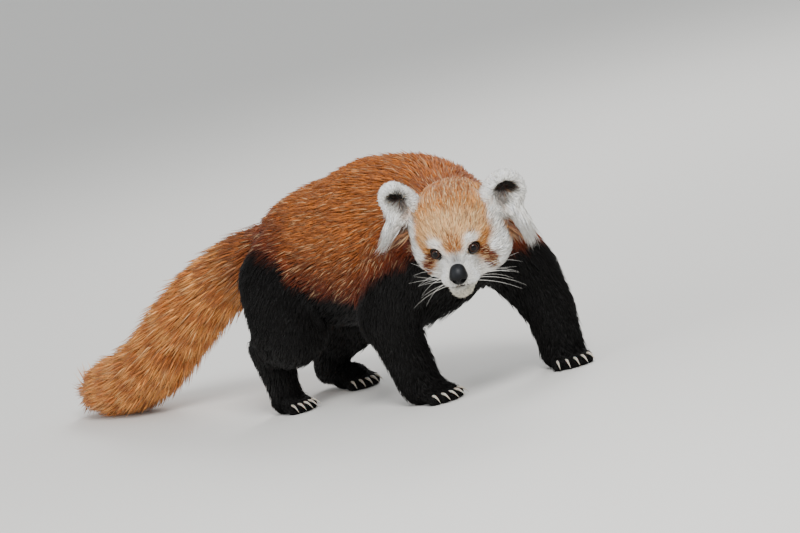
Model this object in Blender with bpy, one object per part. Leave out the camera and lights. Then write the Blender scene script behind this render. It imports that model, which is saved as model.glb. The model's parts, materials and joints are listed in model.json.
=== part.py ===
"""Life-size red panda that walks on four feet, with its face turned to its right side.

The flesh is one smooth field of rounded masses. Each named part is the piece of that flesh inside its own cell,
so neighbours meet face to face with a thin gap. The long coat is made of flat tapered locks fused to their part.
Metres, +X is the way the animal walks, +Z is up, z = 0 is the floor. Landmarks below are in millimetres and are
turned to metres where they are used.
"""

import math
import random

import bmesh
import bpy
import numpy as np
from mathutils import Matrix, Vector

MM = 0.001
GAP = 0.3
EAR_GAP = 1.2
FACE_YAW = math.radians(-55.0)
FACE_PITCH = math.radians(22.0)
FACE_ROLL = math.radians(-3.0)
HEAD_CENTRE = (220.4, -73.6, 188.0)

# Heights and lengths of the trunk
BACK_TOP = 276.0
BELLY = 72.0
TRUNK_HALF_WIDTH = 78.0

# Head sizes, in the head's own frame: x to the nose, y to its left, z up
SKULL_HALF_WIDTH = 50.0
EYE_BULGE = 2.6
EYE_SPACING = 39.5
EYE_UP = 2.0
EYE_RADIUS = 7.4
EYE_OUTWARD = math.radians(16.0)
LID_THICKNESS = 1.5
MOUTH_UP = -36.0
MOUTH_HALF_WIDTH = 15.0
LIP_THICKNESS = 1.9
NOSE_CENTRE = (60.5, 0.0, -18.5)
NOSE_RADII = (9.2, 10.6, 9.6)
EAR_CENTRES = {1: (-12.0, 59.0, 33.0), -1: (-12.0, -54.0, 42.5)}
EAR_RADII = {1: (14.0, 26.5, 28.0), -1: (14.0, 24.0, 27.0)}
CHEEK_REACH = {1: 29.0, -1: 24.5}

# Mesh fineness: the step of the grid, and the share of triangles that is kept
TRUNK_MESH = (9.0, 0.16)
LIMB_MESH = (9.0, 0.15)
TAIL_MESH = (9.0, 0.11)
HEAD_MESH = (4.6, 0.18)
PAW_MESH = (4.6, 0.20)
EAR_MESH = (3.6, 0.21)
NOSE_MESH = (1.8, 0.22)
CELL_RINGS = 7
WELD = 0.0000002

# Limb landmarks: x, y, z and the radius of the furred limb there
FRONT_RIGHT = [(112, -44, 168, 44), (76, -62, 100, 35), (86, -62, 66, 27), (94, -60, 30, 25)]
FRONT_LEFT = [(144, 44, 168, 46), (178, 64, 108, 36), (194, 68, 66, 29), (198, 68, 30, 25)]
HIND_RIGHT = [(-92, -44, 146, 52), (-86, -60, 96, 44), (-124, -58, 76, 26), (-122, -56, 34, 19)]
HIND_LEFT = [(-92, 44, 146, 52), (-84, 56, 92, 44), (-134, 52, 52, 25), (-148, 48, 24, 19)]

# Feet: where the ball of the foot stands, which way the toes point, half width and half length of the pad
PAWS = {
    "front_right": {"ball": (112, -61), "heading": -8.0, "half_width": 23.0, "half_length": 26.0},
    "front_left": {"ball": (207, 62), "heading": -30.0, "half_width": 23.0, "half_length": 25.0},
    "hind_right": {"ball": (-116, -55), "heading": -10.0, "half_width": 19.0, "half_length": 20.0},
    "hind_left": {"ball": (-112, 45), "heading": -18.0, "half_width": 20.0, "half_length": 26.0},
}
PAW_HEIGHT = 15.0
TOE_RADIUS = 7.0
TOE_FAN = 13.0
CLAW_LENGTH = 15.0
CLAW_RADIUS = 1.9

# Tail centre line: x, y, z and the radius out to the tips of its coat
TAIL = [
    (-140, 0, 182, 36),
    (-205, -2, 162, 40),
    (-265, -4, 134, 43),
    (-325, -4, 97, 44),
    (-380, -2, 60, 43),
    (-430, 3, 40, 41),
    (-476, 10, 33, 35),
    (-504, 16, 28, 25),
]
TAIL_CUTS = (0.35, 2.0, 3.4, 5.0)
TAIL_CORE = 0.66

# Locks of the long coat: length, width, thickness, and how far the tip stands off the skin
TAIL_LOCK = (68.0, 31.0, 6.0)
BODY_LOCK = (58.0, 26.0, 7.0, 5.0)
CHEEK_LOCK = (27.0, 12.0, 4.0, 5.0)
EAR_LOCK = (50.0, 11.0, 4.5, 0.0)
LEG_LOCK = (30.0, 15.0, 6.0, 3.0)
TAIL_LOCKS_ROUND = 8
TAIL_LOCK_SPACING = 0.82

COLOURS = {
    "rust": (0.36, 0.10, 0.025),
    "tail": (0.55, 0.22, 0.06),
    "face": (0.60, 0.33, 0.13),
    "black": (0.010, 0.008, 0.008),
    "white": (0.80, 0.77, 0.70),
    "nose": (0.012, 0.012, 0.015),
    "eye": (0.016, 0.008, 0.006),
    "claw": (0.50, 0.45, 0.38),
}


def head_turn():
    """Rotation from the head's own frame to the animal's frame."""
    yaw = Matrix.Rotation(FACE_YAW, 3, "Z")
    pitch = Matrix.Rotation(FACE_PITCH, 3, "Y")
    roll = Matrix.Rotation(FACE_ROLL, 3, "X")
    return np.array(yaw @ pitch @ roll)


HEAD_TURN = head_turn()


def on_head(point):
    """A point given in the head's frame, in the animal's frame."""
    return HEAD_TURN @ np.array(point, float) + np.array(HEAD_CENTRE)


def ball(points, centre, radii, turn=None):
    """Distance to an ellipsoid, close to true near its surface."""
    offset = points - np.array(centre, float)
    if turn is not None:
        offset = offset @ turn
    radii = np.array(radii, float)
    near = np.linalg.norm(offset / radii, axis=1)
    slope = np.linalg.norm(offset / radii**2, axis=1)
    return near * (near - 1.0) / np.maximum(slope, 1e-6)


def limb(points, stations):
    """Distance to a chain of tapered round lengths."""
    result = None
    for start, end in zip(stations, stations[1:]):
        a = np.array(start[:3], float)
        along = np.array(end[:3], float) - a
        share = np.clip((points - a) @ along / (along @ along), 0.0, 1.0)
        radius = start[3] + share * (end[3] - start[3])
        distance = np.linalg.norm(points - a - share[:, None] * along, axis=1) - radius
        result = distance if result is None else blend(result, distance, 0.4 * start[3])
    return result


def blend(first, second, width):
    """Smooth union of two distances."""
    overlap = np.maximum(width - np.abs(first - second), 0.0) / width
    return np.minimum(first, second) - overlap * overlap * width / 4.0


def trunk_field(points):
    """Rump, loin, ribs and chest, with the arched back of a walking animal."""
    height = BACK_TOP - BELLY
    middle = (BACK_TOP + BELLY) / 2.0
    rump = ball(points, (-92, 0, middle - 8), (62, 60, 0.34 * height))
    loin = ball(points, (-32, 0, middle - 4), (86, 70, 0.41 * height))
    ribs = ball(points, (38, 0, middle + 1), (92, TRUNK_HALF_WIDTH - 2, 0.475 * height))
    chest = ball(points, (100, 0, middle + 9), (68, 64, 0.42 * height))
    breast = ball(points, (122, 8, middle - 33), (48, 50, 0.21 * height))
    return blend(blend(rump, loin, 30.0), blend(blend(ribs, chest, 30.0), breast, 20.0), 24.0)


def head_field(points):
    """Skull, brow, cheeks, muzzle and chin, in the head's own frame."""
    own = (points - np.array(HEAD_CENTRE)) @ HEAD_TURN
    skull = ball(own, (-8, 0, 8), (54, SKULL_HALF_WIDTH, 49))
    brow = ball(own, (20, 0, 12), (24, 34, 24))
    field = blend(skull, brow, 14.0)
    for side in (-1, 1):
        reach = CHEEK_REACH[side]
        cheek = ball(own, (0, side * reach, -17), (34, reach, reach + 2))
        field = blend(field, cheek, 14.0)
        lip = ball(own, (47, side * 8.5, -26), (15, 13, 11))
        field = blend(field, lip, 8.0)
    bridge = limb(own, [(22, 0, -8, 22), (51, 0, -15, 11)])
    chin = ball(own, (40, 0, -42), (20, 16, 11))
    throat = ball(own, (10, 0, -30), (34, 30, 18))
    field = blend(blend(blend(field, bridge, 12.0), chin, 8.0), throat, 14.0)
    return field


def paw_field(points, name):
    """Pad and five toes of one foot, flat where it stands."""
    paw = PAWS[name]
    turn = np.array(Matrix.Rotation(math.radians(paw["heading"]), 3, "Z"))
    own = (points - np.array((*paw["ball"], 0.0))) @ turn
    half_width, half_length = paw["half_width"], paw["half_length"]
    field = ball(own, (-6, 0, PAW_HEIGHT - 3), (half_length, half_width, PAW_HEIGHT + 1))
    for toe in toe_lines(half_width, half_length):
        field = blend(field, limb(own, toe), 4.0)
    return field


def toe_lines(half_width, half_length):
    """Five toes of one foot in its own frame, each from knuckle to tip."""
    lines = []
    for number in range(5):
        spread = (number - 2) / 2.0
        angle = math.radians(spread * TOE_FAN)
        side = -spread * (half_width - TOE_RADIUS)
        start = half_length * 0.30
        reach = half_length * (0.86 - 0.26 * spread * spread)
        tip = (start + reach * math.cos(angle), side - reach * 0.5 * math.sin(angle))
        lines.append([(start - 8, side * 0.8, 14, TOE_RADIUS + 1), (*tip, TOE_RADIUS - 1.5, TOE_RADIUS)])
    return lines


LEGS = {
    "front_right": FRONT_RIGHT,
    "front_left": FRONT_LEFT,
    "hind_right": HIND_RIGHT,
    "hind_left": HIND_LEFT,
}


def leg_field(points, name):
    """One leg from shoulder or hip down to its foot."""
    return blend(limb(points, LEGS[name]), paw_field(points, name), 12.0)


def flesh_field(points):
    """The whole animal out to the tips of its coat, without ears, eyes, nose and claws."""
    neck = limb(points, [(132, -4, 194, 60), (190, -48, 186, 50)])
    field = blend(trunk_field(points), neck, 26.0)
    field = blend(field, head_field(points), 16.0)
    for name in LEGS:
        field = blend(field, leg_field(points, name), 18.0)
    return blend(field, limb(points, TAIL), 16.0)


def tail_core_field(points):
    """The tail without its locks."""
    return limb(points, [(x, y, z, radius * TAIL_CORE) for x, y, z, radius in TAIL])


def ear_field(own, radii):
    """Round ear with a deep cup, in its own frame: x out of the cup, y along its width, z to its tip."""
    shell = ball(own, (0, 0, 0), radii)
    cup = ball(own, (radii[0], 0, 0), (radii[0] + 1, radii[1] * 0.69, radii[2] * 0.67))
    return np.maximum(shell, -cup)


def net_cells(values):
    """Cells of the grid that the surface passes through, each with the mean of its crossings, and the faces."""
    inside = values < 0.0
    shape = np.array(values.shape)
    total = np.zeros((shape.prod(), 3))
    count = np.zeros(shape.prod())
    quads = []
    for axis in range(3):
        first = [slice(0, size) for size in shape]
        second = list(first)
        first[axis] = slice(0, shape[axis] - 1)
        second[axis] = slice(1, shape[axis])
        low, high = values[tuple(first)], values[tuple(second)]
        crossing = np.argwhere((low < 0.0) != (high < 0.0))
        before = low[tuple(crossing.T)]
        after = high[tuple(crossing.T)]
        place = crossing.astype(float)
        place[:, axis] += before / (before - after)
        side, other = (axis + 1) % 3, (axis + 2) % 3
        ring = []
        for step_side, step_other in ((-1, -1), (0, -1), (0, 0), (-1, 0)):
            cell = crossing.copy()
            cell[:, side] += step_side
            cell[:, other] += step_other
            index = np.ravel_multi_index(tuple(cell.T), values.shape)
            np.add.at(total, index, place)
            np.add.at(count, index, 1.0)
            ring.append(index)
        ring = np.stack(ring, axis=1)
        outward = inside[tuple(crossing.T)]
        ring[~outward] = ring[~outward][:, ::-1]
        quads.append(ring)
    used = np.flatnonzero(count)
    renumber = np.zeros(len(count), int)
    renumber[used] = np.arange(len(used))
    return total[used] / count[used][:, None], renumber[np.concatenate(quads)]


def settle(points, field, rounds):
    """Moves points onto the field's surface along its slope."""
    probe = 0.5
    for _ in range(rounds):
        slope = np.empty_like(points)
        for axis in range(3):
            shift = np.zeros(3)
            shift[axis] = probe
            slope[:, axis] = (field(points + shift) - field(points - shift)) / (2.0 * probe)
        size = np.maximum((slope**2).sum(axis=1), 0.05)
        points = points - slope * (field(points) / size)[:, None]
    return points


def relax(points, quads, rounds):
    """Evens out the spacing of the mesh's points."""
    edges = np.concatenate([quads[:, [i, (i + 1) % 4]] for i in range(4)])
    for _ in range(rounds):
        total = np.zeros_like(points)
        count = np.zeros(len(points))
        for a, b in ((0, 1), (1, 0)):
            np.add.at(total, edges[:, a], points[edges[:, b]])
            np.add.at(count, edges[:, a], 1.0)
        points = 0.5 * points + 0.5 * total / count[:, None]
    return points


def surface(field, low, high, fineness):
    """Closed mesh of the field's surface inside a box; a grid that gives an open edge is shifted a little."""
    for shift in np.arange(0.0, 1.0, 0.17):
        thing = net_surface(field, np.array(low) - shift * fineness[0], np.array(high, float), fineness)
        if is_closed(thing):
            break
        bpy.data.objects.remove(thing)
    return thing


def is_closed(thing):
    """Whether every edge of an object's mesh joins two faces."""
    shape = bmesh.new()
    shape.from_mesh(thing.data)
    closed = all(len(edge.link_faces) == 2 for edge in shape.edges)
    shape.free()
    return closed


def net_surface(field, low, high, fineness):
    """Mesh of the field's surface on one grid, thinned to its share of triangles."""
    step, kept = fineness
    counts = np.ceil((high - low) / step).astype(int) + 1
    axes = [low[i] + step * np.arange(counts[i]) for i in range(3)]
    grid = np.stack(np.meshgrid(*axes, indexing="ij"), axis=-1)
    values = field(grid.reshape(-1, 3)).reshape(grid.shape[:3])
    for axis in range(3):
        for end in (0, -1):
            wall = [slice(None)] * 3
            wall[axis] = end
            values[tuple(wall)] = np.maximum(values[tuple(wall)], 0.3 * step)
    places, quads = net_cells(values)
    free = ((places > 1.2) & (places < counts - 2.2)).all(axis=1)
    points = low + places * step
    moved = settle(relax(points, quads, 3), field, 3)
    points[free] = moved[free]
    thing = mesh_object("flesh", points * MM, quads.tolist())
    thinned = thing.modifiers.new("thinned", "DECIMATE")
    thinned.ratio = kept
    apply_modifiers(thing)
    return thing


def mesh_object(name, points, faces):
    """A mesh object of triangles from points in metres and faces."""
    mesh = bpy.data.meshes.new(name)
    mesh.from_pydata([tuple(point) for point in points], [], faces)
    shape = bmesh.new()
    shape.from_mesh(mesh)
    bmesh.ops.triangulate(shape, faces=shape.faces[:])
    bmesh.ops.recalc_face_normals(shape, faces=shape.faces[:])
    shape.to_mesh(mesh)
    shape.free()
    thing = bpy.data.objects.new(name, mesh)
    bpy.context.scene.collection.objects.link(thing)
    return thing


def apply_modifiers(thing):
    """Turns an object's modifiers into its mesh."""
    bpy.context.view_layer.update()
    evaluated = thing.evaluated_get(bpy.context.evaluated_depsgraph_get())
    mesh = bpy.data.meshes.new_from_object(evaluated)
    thing.modifiers.clear()
    thing.data = mesh


def cut(thing, cutter, operation="DIFFERENCE", solver="EXACT"):
    """Cuts an object by another one, which is removed."""
    modifier = thing.modifiers.new("cut", "BOOLEAN")
    modifier.operation = operation
    modifier.solver = solver
    modifier.object = cutter
    apply_modifiers(thing)
    bpy.data.objects.remove(cutter)


def fuse(thing, pieces):
    """Joins closed pieces to an object by one union."""
    group = bpy.data.collections.new("pieces")
    bpy.context.scene.collection.children.link(group)
    for piece in pieces:
        group.objects.link(piece)
    modifier = thing.modifiers.new("fuse", "BOOLEAN")
    modifier.operation = "UNION"
    modifier.solver = "MANIFOLD"
    modifier.operand_type = "COLLECTION"
    modifier.collection = group
    apply_modifiers(thing)
    for piece in pieces:
        bpy.data.objects.remove(piece)
    bpy.data.collections.remove(group)


def keep_largest(thing):
    """Keeps the largest closed surface of an object."""
    shape = bmesh.new()
    shape.from_mesh(thing.data)
    bmesh.ops.remove_doubles(shape, verts=shape.verts[:], dist=WELD)
    bmesh.ops.dissolve_degenerate(shape, dist=WELD, edges=shape.edges[:])
    bmesh.ops.triangulate(shape, faces=shape.faces[:])
    left = set(shape.faces)
    islands = []
    while left:
        seed = left.pop()
        island, front = [seed], [seed]
        while front:
            face = front.pop()
            for edge in face.edges:
                for other in edge.link_faces:
                    if other in left:
                        left.discard(other)
                        island.append(other)
                        front.append(other)
        islands.append(island)
    islands.sort(key=lambda faces: sum(face.calc_area() for face in faces))
    spare = [face for island in islands[:-1] for face in island]
    bmesh.ops.delete(shape, geom=spare, context="FACES")
    shape.to_mesh(thing.data)
    shape.free()


def inflated(thing, amount):
    """A copy of an object grown by an amount along its normals, to cut a neighbour clear of it."""
    copy = bpy.data.objects.new("grown", thing.data.copy())
    bpy.context.scene.collection.objects.link(copy)
    shape = bmesh.new()
    shape.from_mesh(copy.data)
    shape.normal_update()
    for vertex in shape.verts:
        vertex.co += vertex.normal * amount * MM
    shape.to_mesh(copy.data)
    shape.free()
    return copy


def globe(centre, radius, rings=CELL_RINGS):
    """A closed ball, in millimetres."""
    shape = bmesh.new()
    bmesh.ops.create_uvsphere(shape, u_segments=rings + rings // 2, v_segments=rings, radius=radius * MM)
    bmesh.ops.translate(shape, verts=shape.verts[:], vec=Vector(centre) * MM)
    return finish_shape(shape, "globe")


def finish_shape(shape, name):
    """An object of triangles from a bmesh."""
    bmesh.ops.triangulate(shape, faces=shape.faces[:])
    mesh = bpy.data.meshes.new(name)
    shape.to_mesh(mesh)
    shape.free()
    thing = bpy.data.objects.new(name, mesh)
    bpy.context.scene.collection.objects.link(thing)
    return thing


def drum(base, axis, length, radius):
    """A closed drum from a base point along an axis, in millimetres."""
    direction = Vector(axis).normalized()
    centre = Vector(base) + direction * length / 2.0
    place = Matrix.Translation(centre * MM) @ direction.to_track_quat("Z", "Y").to_matrix().to_4x4()
    shape = bmesh.new()
    bmesh.ops.create_cone(
        shape,
        cap_ends=True,
        segments=24,
        radius1=radius * MM,
        radius2=radius * MM,
        depth=length * MM,
        matrix=place,
    )
    return finish_shape(shape, "drum")


def tube(stations, sides, flatten=1.0, across=(0, 0, 1)):
    """A closed tapered tube through stations of x, y, z and radius, in millimetres."""
    centres = [Vector(station[:3]) for station in stations]
    points, faces = [], []
    for i, centre in enumerate(centres):
        ahead = centres[min(i + 1, len(centres) - 1)] - centres[max(i - 1, 0)]
        ahead.normalize()
        side = ahead.cross(Vector(across)).normalized()
        up = side.cross(ahead)
        for k in range(sides):
            angle = 2.0 * math.pi * (k + 0.5) / sides
            spread = side * math.cos(angle) + up * math.sin(angle) * flatten
            points.append((centre + spread * stations[i][3]) * MM)
    for i in range(len(centres) - 1):
        for k in range(sides):
            after = (k + 1) % sides
            faces.append((i * sides + k, i * sides + after, (i + 1) * sides + after, (i + 1) * sides + k))
    faces.append(tuple(reversed(range(sides))))
    faces.append(tuple(range((len(centres) - 1) * sides, len(centres) * sides)))
    return mesh_object("tube", points, faces)


def lock(root, lie, normal, sizes, chance, sink=5.0):
    """A flat tapered lock that leaves the skin at its root and bends out to its tip."""
    length, width, thickness, stand = sizes
    length *= chance.uniform(0.85, 1.15)
    width *= chance.uniform(0.85, 1.1)
    lie, normal = np.array(lie, float), np.array(normal, float)
    normal = normal / np.linalg.norm(normal)
    lie = lie - normal * (lie @ normal)
    lie = lie / np.linalg.norm(lie)
    across = np.cross(normal, lie)
    sway = chance.uniform(-0.16, 0.16)
    points, faces = [], []
    for share, spread, depth in ((0.0, 0.62, 1.0), (0.34, 1.0, 1.0), (0.70, 0.72, 0.7)):
        rise = -sink + (sink + stand) * share**1.3
        middle = np.array(root) + lie * length * (share - 0.12) + normal * rise + across * sway * length * share**2
        half, deep = across * width * spread / 2.0, normal * thickness * depth / 2.0
        points += [middle - half, middle + deep, middle + half, middle - deep]
    points.append(np.array(root) + lie * length * 0.88 + normal * stand + across * sway * length)
    for ring in range(2):
        for k in range(4):
            low, after = ring * 4 + k, ring * 4 + (k + 1) % 4
            faces.append((low, after, after + 4, low + 4))
    faces += [(8 + k, 8 + (k + 1) % 4, 12) for k in range(4)]
    faces.append((3, 2, 1, 0))
    return mesh_object("lock", [point * MM for point in points], faces)


def laid(field, root, lie, normal, sizes, chance, sink=5.0):
    """A lock whose tip stands its own height off the skin, however the skin curves under it."""
    length, width, thickness, stand = sizes
    lie = np.array(lie, float) - normal * (np.array(lie, float) @ normal)
    tip = np.array(root) + 0.88 * length * lie / np.linalg.norm(lie)
    fallen = float(field(tip[None])[0])
    return lock(root, lie, normal, (length, width, thickness, stand - fallen), chance, sink)


def reach(field, origin, direction, far=140.0):
    """The outermost place of the field's surface along a ray, and the surface's normal there."""
    direction = np.array(direction, float) / np.linalg.norm(direction)
    depths = np.linspace(0.0, far, 281)
    line = np.array(origin, float) + depths[:, None] * direction
    place = line[np.flatnonzero(field(line) < 0.0)[-1]]
    shifts = np.eye(3)
    normal = (field(place + shifts) - field(place - shifts)) / 2.0
    return place, normal / np.linalg.norm(normal)


def tail_locks(first, last):
    """Rings of locks round the tail between two places along it, each ring over the roots of the next."""
    pieces = []
    rows = int((len(TAIL) - 1.55) / TAIL_LOCK_SPACING) + 1
    for row in range(rows):
        place = 0.15 + row * TAIL_LOCK_SPACING
        if not first - 1.3 < place < last + 0.3:
            continue
        chance = random.Random(100 + row)
        centre, ahead, radius = tail_point(place)
        side = np.cross(ahead, (0, 0, 1))
        side /= np.linalg.norm(side)
        up = np.cross(side, ahead)
        for number in range(TAIL_LOCKS_ROUND):
            angle = 2.0 * math.pi * (number + 0.5 * (row % 2) + chance.uniform(-0.12, 0.12)) / TAIL_LOCKS_ROUND
            out = side * math.cos(angle) + up * math.sin(angle)
            root = centre + out * radius * TAIL_CORE
            length, width, thickness = TAIL_LOCK
            sizes = (length, width, thickness, radius * (1.0 - TAIL_CORE) - thickness / 4.0)
            pieces.append(lock(root, ahead, out, sizes, chance, sink=6.0))
    return pieces


def body_locks():
    """Locks of the flanks, belly, chest and rump, which lie back and down."""
    chance = random.Random(7)
    pieces = []
    for station in range(6):
        x = -100 + 42 * station
        for degrees in (74, 108, 142):
            for side in (-1, 1):
                angle = math.radians(degrees + 16 * (station % 2) + chance.uniform(-5, 5))
                ray = (0.0, side * math.sin(angle), math.cos(angle))
                place, normal = reach(flesh_field, (x + chance.uniform(-6, 6), 0, 170), ray)
                pieces.append(laid(flesh_field, place, (-0.85, 0.0, -0.5), normal, BODY_LOCK, chance))
    return pieces


def leg_locks(name):
    """Locks down the rear edge of a leg."""
    chance = random.Random(len(name))
    pieces = []
    stations = LEGS[name]
    for number in range(4):
        share = 0.15 + 0.25 * number
        start, end = np.array(stations[1][:3], float), np.array(stations[2][:3], float)
        origin = start + (end - start) * share
        side = 0.35 * math.copysign(1.0, start[1]) * (-1) ** number
        place, normal = reach(flesh_field, origin, (-1.0, side, 0.0), 70.0)
        pieces.append(laid(flesh_field, place, (-0.35, 0.0, -1.0), normal, LEG_LOCK, chance))
    return pieces


def cheek_locks():
    """The ruff that frames the face, fanned out from each cheek."""
    chance = random.Random(21)
    pieces = []
    for side in (-1, 1):
        for number in range(6):
            up = 10.0 - 9.0 * number
            origin = on_head((8.0 - 1.2 * number, 0, up))
            place, normal = reach(head_field, origin, HEAD_TURN @ np.array((0.0, side * 1.0, -0.02 * number)))
            lie = HEAD_TURN @ np.array((-0.75, side * 0.5, -0.35 - 0.12 * number))
            pieces.append(laid(head_field, place, lie, normal, CHEEK_LOCK, chance, sink=3.0))
    return pieces


def ear_locks(centre, turn, side):
    """The long white tuft that hangs from the outer edge of an ear."""
    chance = random.Random(31 + side)
    pieces = []
    for number in range(6):
        angle = math.radians(-30.0 - 24.0 * number)
        own = np.array((1.0, side * 17.0 * math.cos(angle), 19.0 * math.sin(angle)))
        lie = HEAD_TURN @ np.array((0.12, side * (0.50 - 0.06 * number), -1.0))
        pieces.append(lock(centre + turn @ own, lie, turn @ np.array((1.0, 0, 0)), EAR_LOCK, chance, sink=1.0))
    return pieces


def lid_rings():
    """The rims of the lids round both eyes, which the sockets are cut from."""
    pieces = []
    for side in (-1, 1):
        centre = np.array(eye_centre(side))
        yaw = Matrix.Rotation(side * EYE_OUTWARD, 3, "Z")
        turn = HEAD_TURN @ np.array(yaw)
        opening = 0.80 * EYE_RADIUS
        ahead = math.sqrt(EYE_RADIUS**2 - opening**2)
        shape = bmesh.new()
        points = []
        for i in range(12):
            angle = 2.0 * math.pi * i / 12
            for k in range(4):
                bend = 2.0 * math.pi * (k + 0.5) / 4
                far = opening + 0.6 + LID_THICKNESS * math.cos(bend)
                own = (
                    ahead + LID_THICKNESS * math.sin(bend),
                    1.08 * far * math.cos(angle),
                    0.94 * far * math.sin(angle),
                )
                points.append(shape.verts.new((centre + turn @ np.array(own)) * MM))
        for i in range(12):
            for k in range(4):
                after, across = (i + 1) % 12, (k + 1) % 4
                loop = [i * 4 + k, after * 4 + k, after * 4 + across, i * 4 + across]
                shape.faces.new([points[index] for index in loop])
        bmesh.ops.recalc_face_normals(shape, faces=shape.faces[:])
        pieces.append(finish_shape(shape, "lid"))
    return pieces


def mouth_line(rise, radius):
    """A tube along the line of the mouth, round the front of the muzzle."""
    stations = []
    for share in np.linspace(-1.0, 1.0, 9):
        beside = share * MOUTH_HALF_WIDTH
        up = MOUTH_UP + rise - 2.2 * abs(share) ** 1.5
        place = on_head((face_depth(beside, up) - 0.5, beside, up))
        stations.append((*place, radius))
    return tube(stations, 4, across=HEAD_TURN[:, 2])


def tail_point(place):
    """Centre, direction and radius of the tail at a place along its stations."""
    index = min(int(place), len(TAIL) - 2)
    start, end = np.array(TAIL[index], float), np.array(TAIL[index + 1], float)
    here = start + (end - start) * (place - index)
    ahead = end[:3] - start[:3]
    if index > 0:
        ahead = ahead + (start[:3] - np.array(TAIL[index - 1][:3], float)) * (1.0 - place + index)
    return here[:3], ahead / np.linalg.norm(ahead), here[3]


def head_cell(grow):
    """Everything in front of the nape."""
    base = on_head((-50 - grow, 0, 0))
    return drum(base, HEAD_TURN[:, 0], 150 + 2 * grow, 92 + grow)


def neck_cell(grow):
    """A ball round the neck, which the head's cell is taken from."""
    return globe(on_head((-22, 0, 0)), 84 + grow)


def paw_cell(name, grow):
    """A drum round one foot, up to its wrist or ankle."""
    x, y, z, radius = LEGS[name][-1]
    paw = PAWS[name]
    centre = ((x + paw["ball"][0]) / 2.0, (y + paw["ball"][1]) / 2.0, -5.0 - grow)
    return drum(centre, (0, 0, 1), z + 8 + 2 * grow, 54 + grow)


def leg_cell(name, grow):
    """A ball round one leg, which bites into the trunk at the shoulder or hip."""
    top, middle = np.array(LEGS[name][0][:3]), np.array(LEGS[name][1][:3])
    centre = top * 0.15 + middle * 0.85
    centre[1] *= 1.25
    centre[2] -= 14
    return globe(centre, 82 + grow)


def tail_cell(number, grow):
    """A drum round the tail, from one of its cuts to past its end."""
    centre, ahead, _ = tail_point(TAIL_CUTS[number])
    return drum(centre - ahead * grow, ahead, 420, 64 + grow)


def floor_cell(grow):
    """All that is under the floor."""
    return drum((-140, 0, -60), (0, 0, 1), 60 + grow, 600)


def part_plan():
    """Each part of the flesh with its cell, fineness and colour, in the order in which they are cut."""
    plan = [("head", head_cell, HEAD_MESH, "face"), ("neck", neck_cell, TRUNK_MESH, "rust")]
    for name in LEGS:
        plan.append((name + "_paw", lambda grow, name=name: paw_cell(name, grow), PAW_MESH, "black"))
    for number in range(len(TAIL_CUTS) - 1, -1, -1):
        plan.append((f"tail_{number + 1}", lambda grow, number=number: tail_cell(number, grow), TAIL_MESH, "tail"))
    for name in LEGS:
        plan.append((name + "_leg", lambda grow, name=name: leg_cell(name, grow), LIMB_MESH, "black"))
    return plan


def coat_of(name):
    """The locks and rims that are fused to one part."""
    if name == "head":
        lips = [mouth_line(rise, LIP_THICKNESS) for rise in (-LIP_THICKNESS, LIP_THICKNESS)]
        return cheek_locks() + lid_rings() + lips
    if name.startswith("tail"):
        number = int(name[-1]) - 1
        ends = (*TAIL_CUTS, len(TAIL) - 1)
        return tail_locks(ends[number], ends[number + 1])
    if name.endswith("leg"):
        return leg_locks(name.removesuffix("_leg"))
    return []


def bounds(thing):
    """Lowest and highest corner of an object's mesh, in millimetres."""
    points = np.array([vertex.co for vertex in thing.data.vertices]) / MM
    return points.min(axis=0), points.max(axis=0)


def touches(first, second):
    """Whether two boxes meet."""
    return bool((first[0] < second[1]).all() and (second[0] < first[1]).all())


def build_flesh():
    """All parts of the flesh, each cut clear of those before it."""
    parts = {}
    earlier = []
    for name, cell, fineness, colour in part_plan():
        shell = cell(0.0)
        box = bounds(shell)
        low = np.maximum(box[0], (-560, -170, -14))
        high = np.minimum(box[1], (330, 170, 300))
        margin = 2.5 * fineness[0]
        field = tail_core_field if name.startswith("tail") else flesh_field
        thing = surface(field, low - margin, high + margin, fineness)
        coat = coat_of(name)
        if coat:
            fuse(thing, coat)
        cut(thing, shell, "INTERSECT")
        for other, other_box in earlier:
            if touches(box, other_box):
                cut(thing, other(GAP))
        cut(thing, floor_cell(0.0))
        keep_largest(thing)
        parts[name] = finished(thing, name, colour)
        earlier.append((cell, box))
    trunk = surface(flesh_field, (-200, -130, 30), (230, 130, 300), TRUNK_MESH)
    fuse(trunk, body_locks())
    for other, _ in earlier:
        cut(trunk, other(GAP))
    keep_largest(trunk)
    parts["torso"] = finished(trunk, "torso", "rust")
    return parts


def material(name):
    """One plain finish by its colour's name."""
    found = bpy.data.materials.get(name)
    if found:
        return found
    made = bpy.data.materials.new(name)
    made.use_nodes = True
    shader = made.node_tree.nodes["Principled BSDF"]
    shader.inputs["Base Color"].default_value = (*COLOURS[name], 1.0)
    shader.inputs["Roughness"].default_value = 0.25 if name in ("eye", "nose") else 0.85
    shader.inputs["Metallic"].default_value = 0.0
    return made


def finished(thing, name, colour):
    """Names an object, gives it its finish and shades it smooth."""
    thing.name = name
    thing.data.name = name
    thing.data.materials.clear()
    thing.data.materials.append(material(colour))
    thing.data.shade_smooth()
    return thing


def build_ears(head):
    """Both ears, cut clear of the head that carries them."""
    for side, name in ((1, "ear_left"), (-1, "ear_right")):
        tilt = Matrix.Rotation(math.radians(-26.0 * side), 3, "X")
        face_out = Matrix.Rotation(math.radians(24.0 * side), 3, "Z")
        turn = HEAD_TURN @ np.array(face_out @ tilt)
        centre = on_head(EAR_CENTRES[side])

        def placed(points, centre=centre, turn=turn, radii=EAR_RADII[side]):
            return ear_field((points - centre) @ turn, radii)

        ear = surface(placed, centre - 38, centre + 38, EAR_MESH)
        fuse(ear, ear_locks(centre, turn, side))
        cut(ear, inflated(head, EAR_GAP), solver="MANIFOLD")
        keep_largest(ear)
        finished(ear, name, "white")


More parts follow.
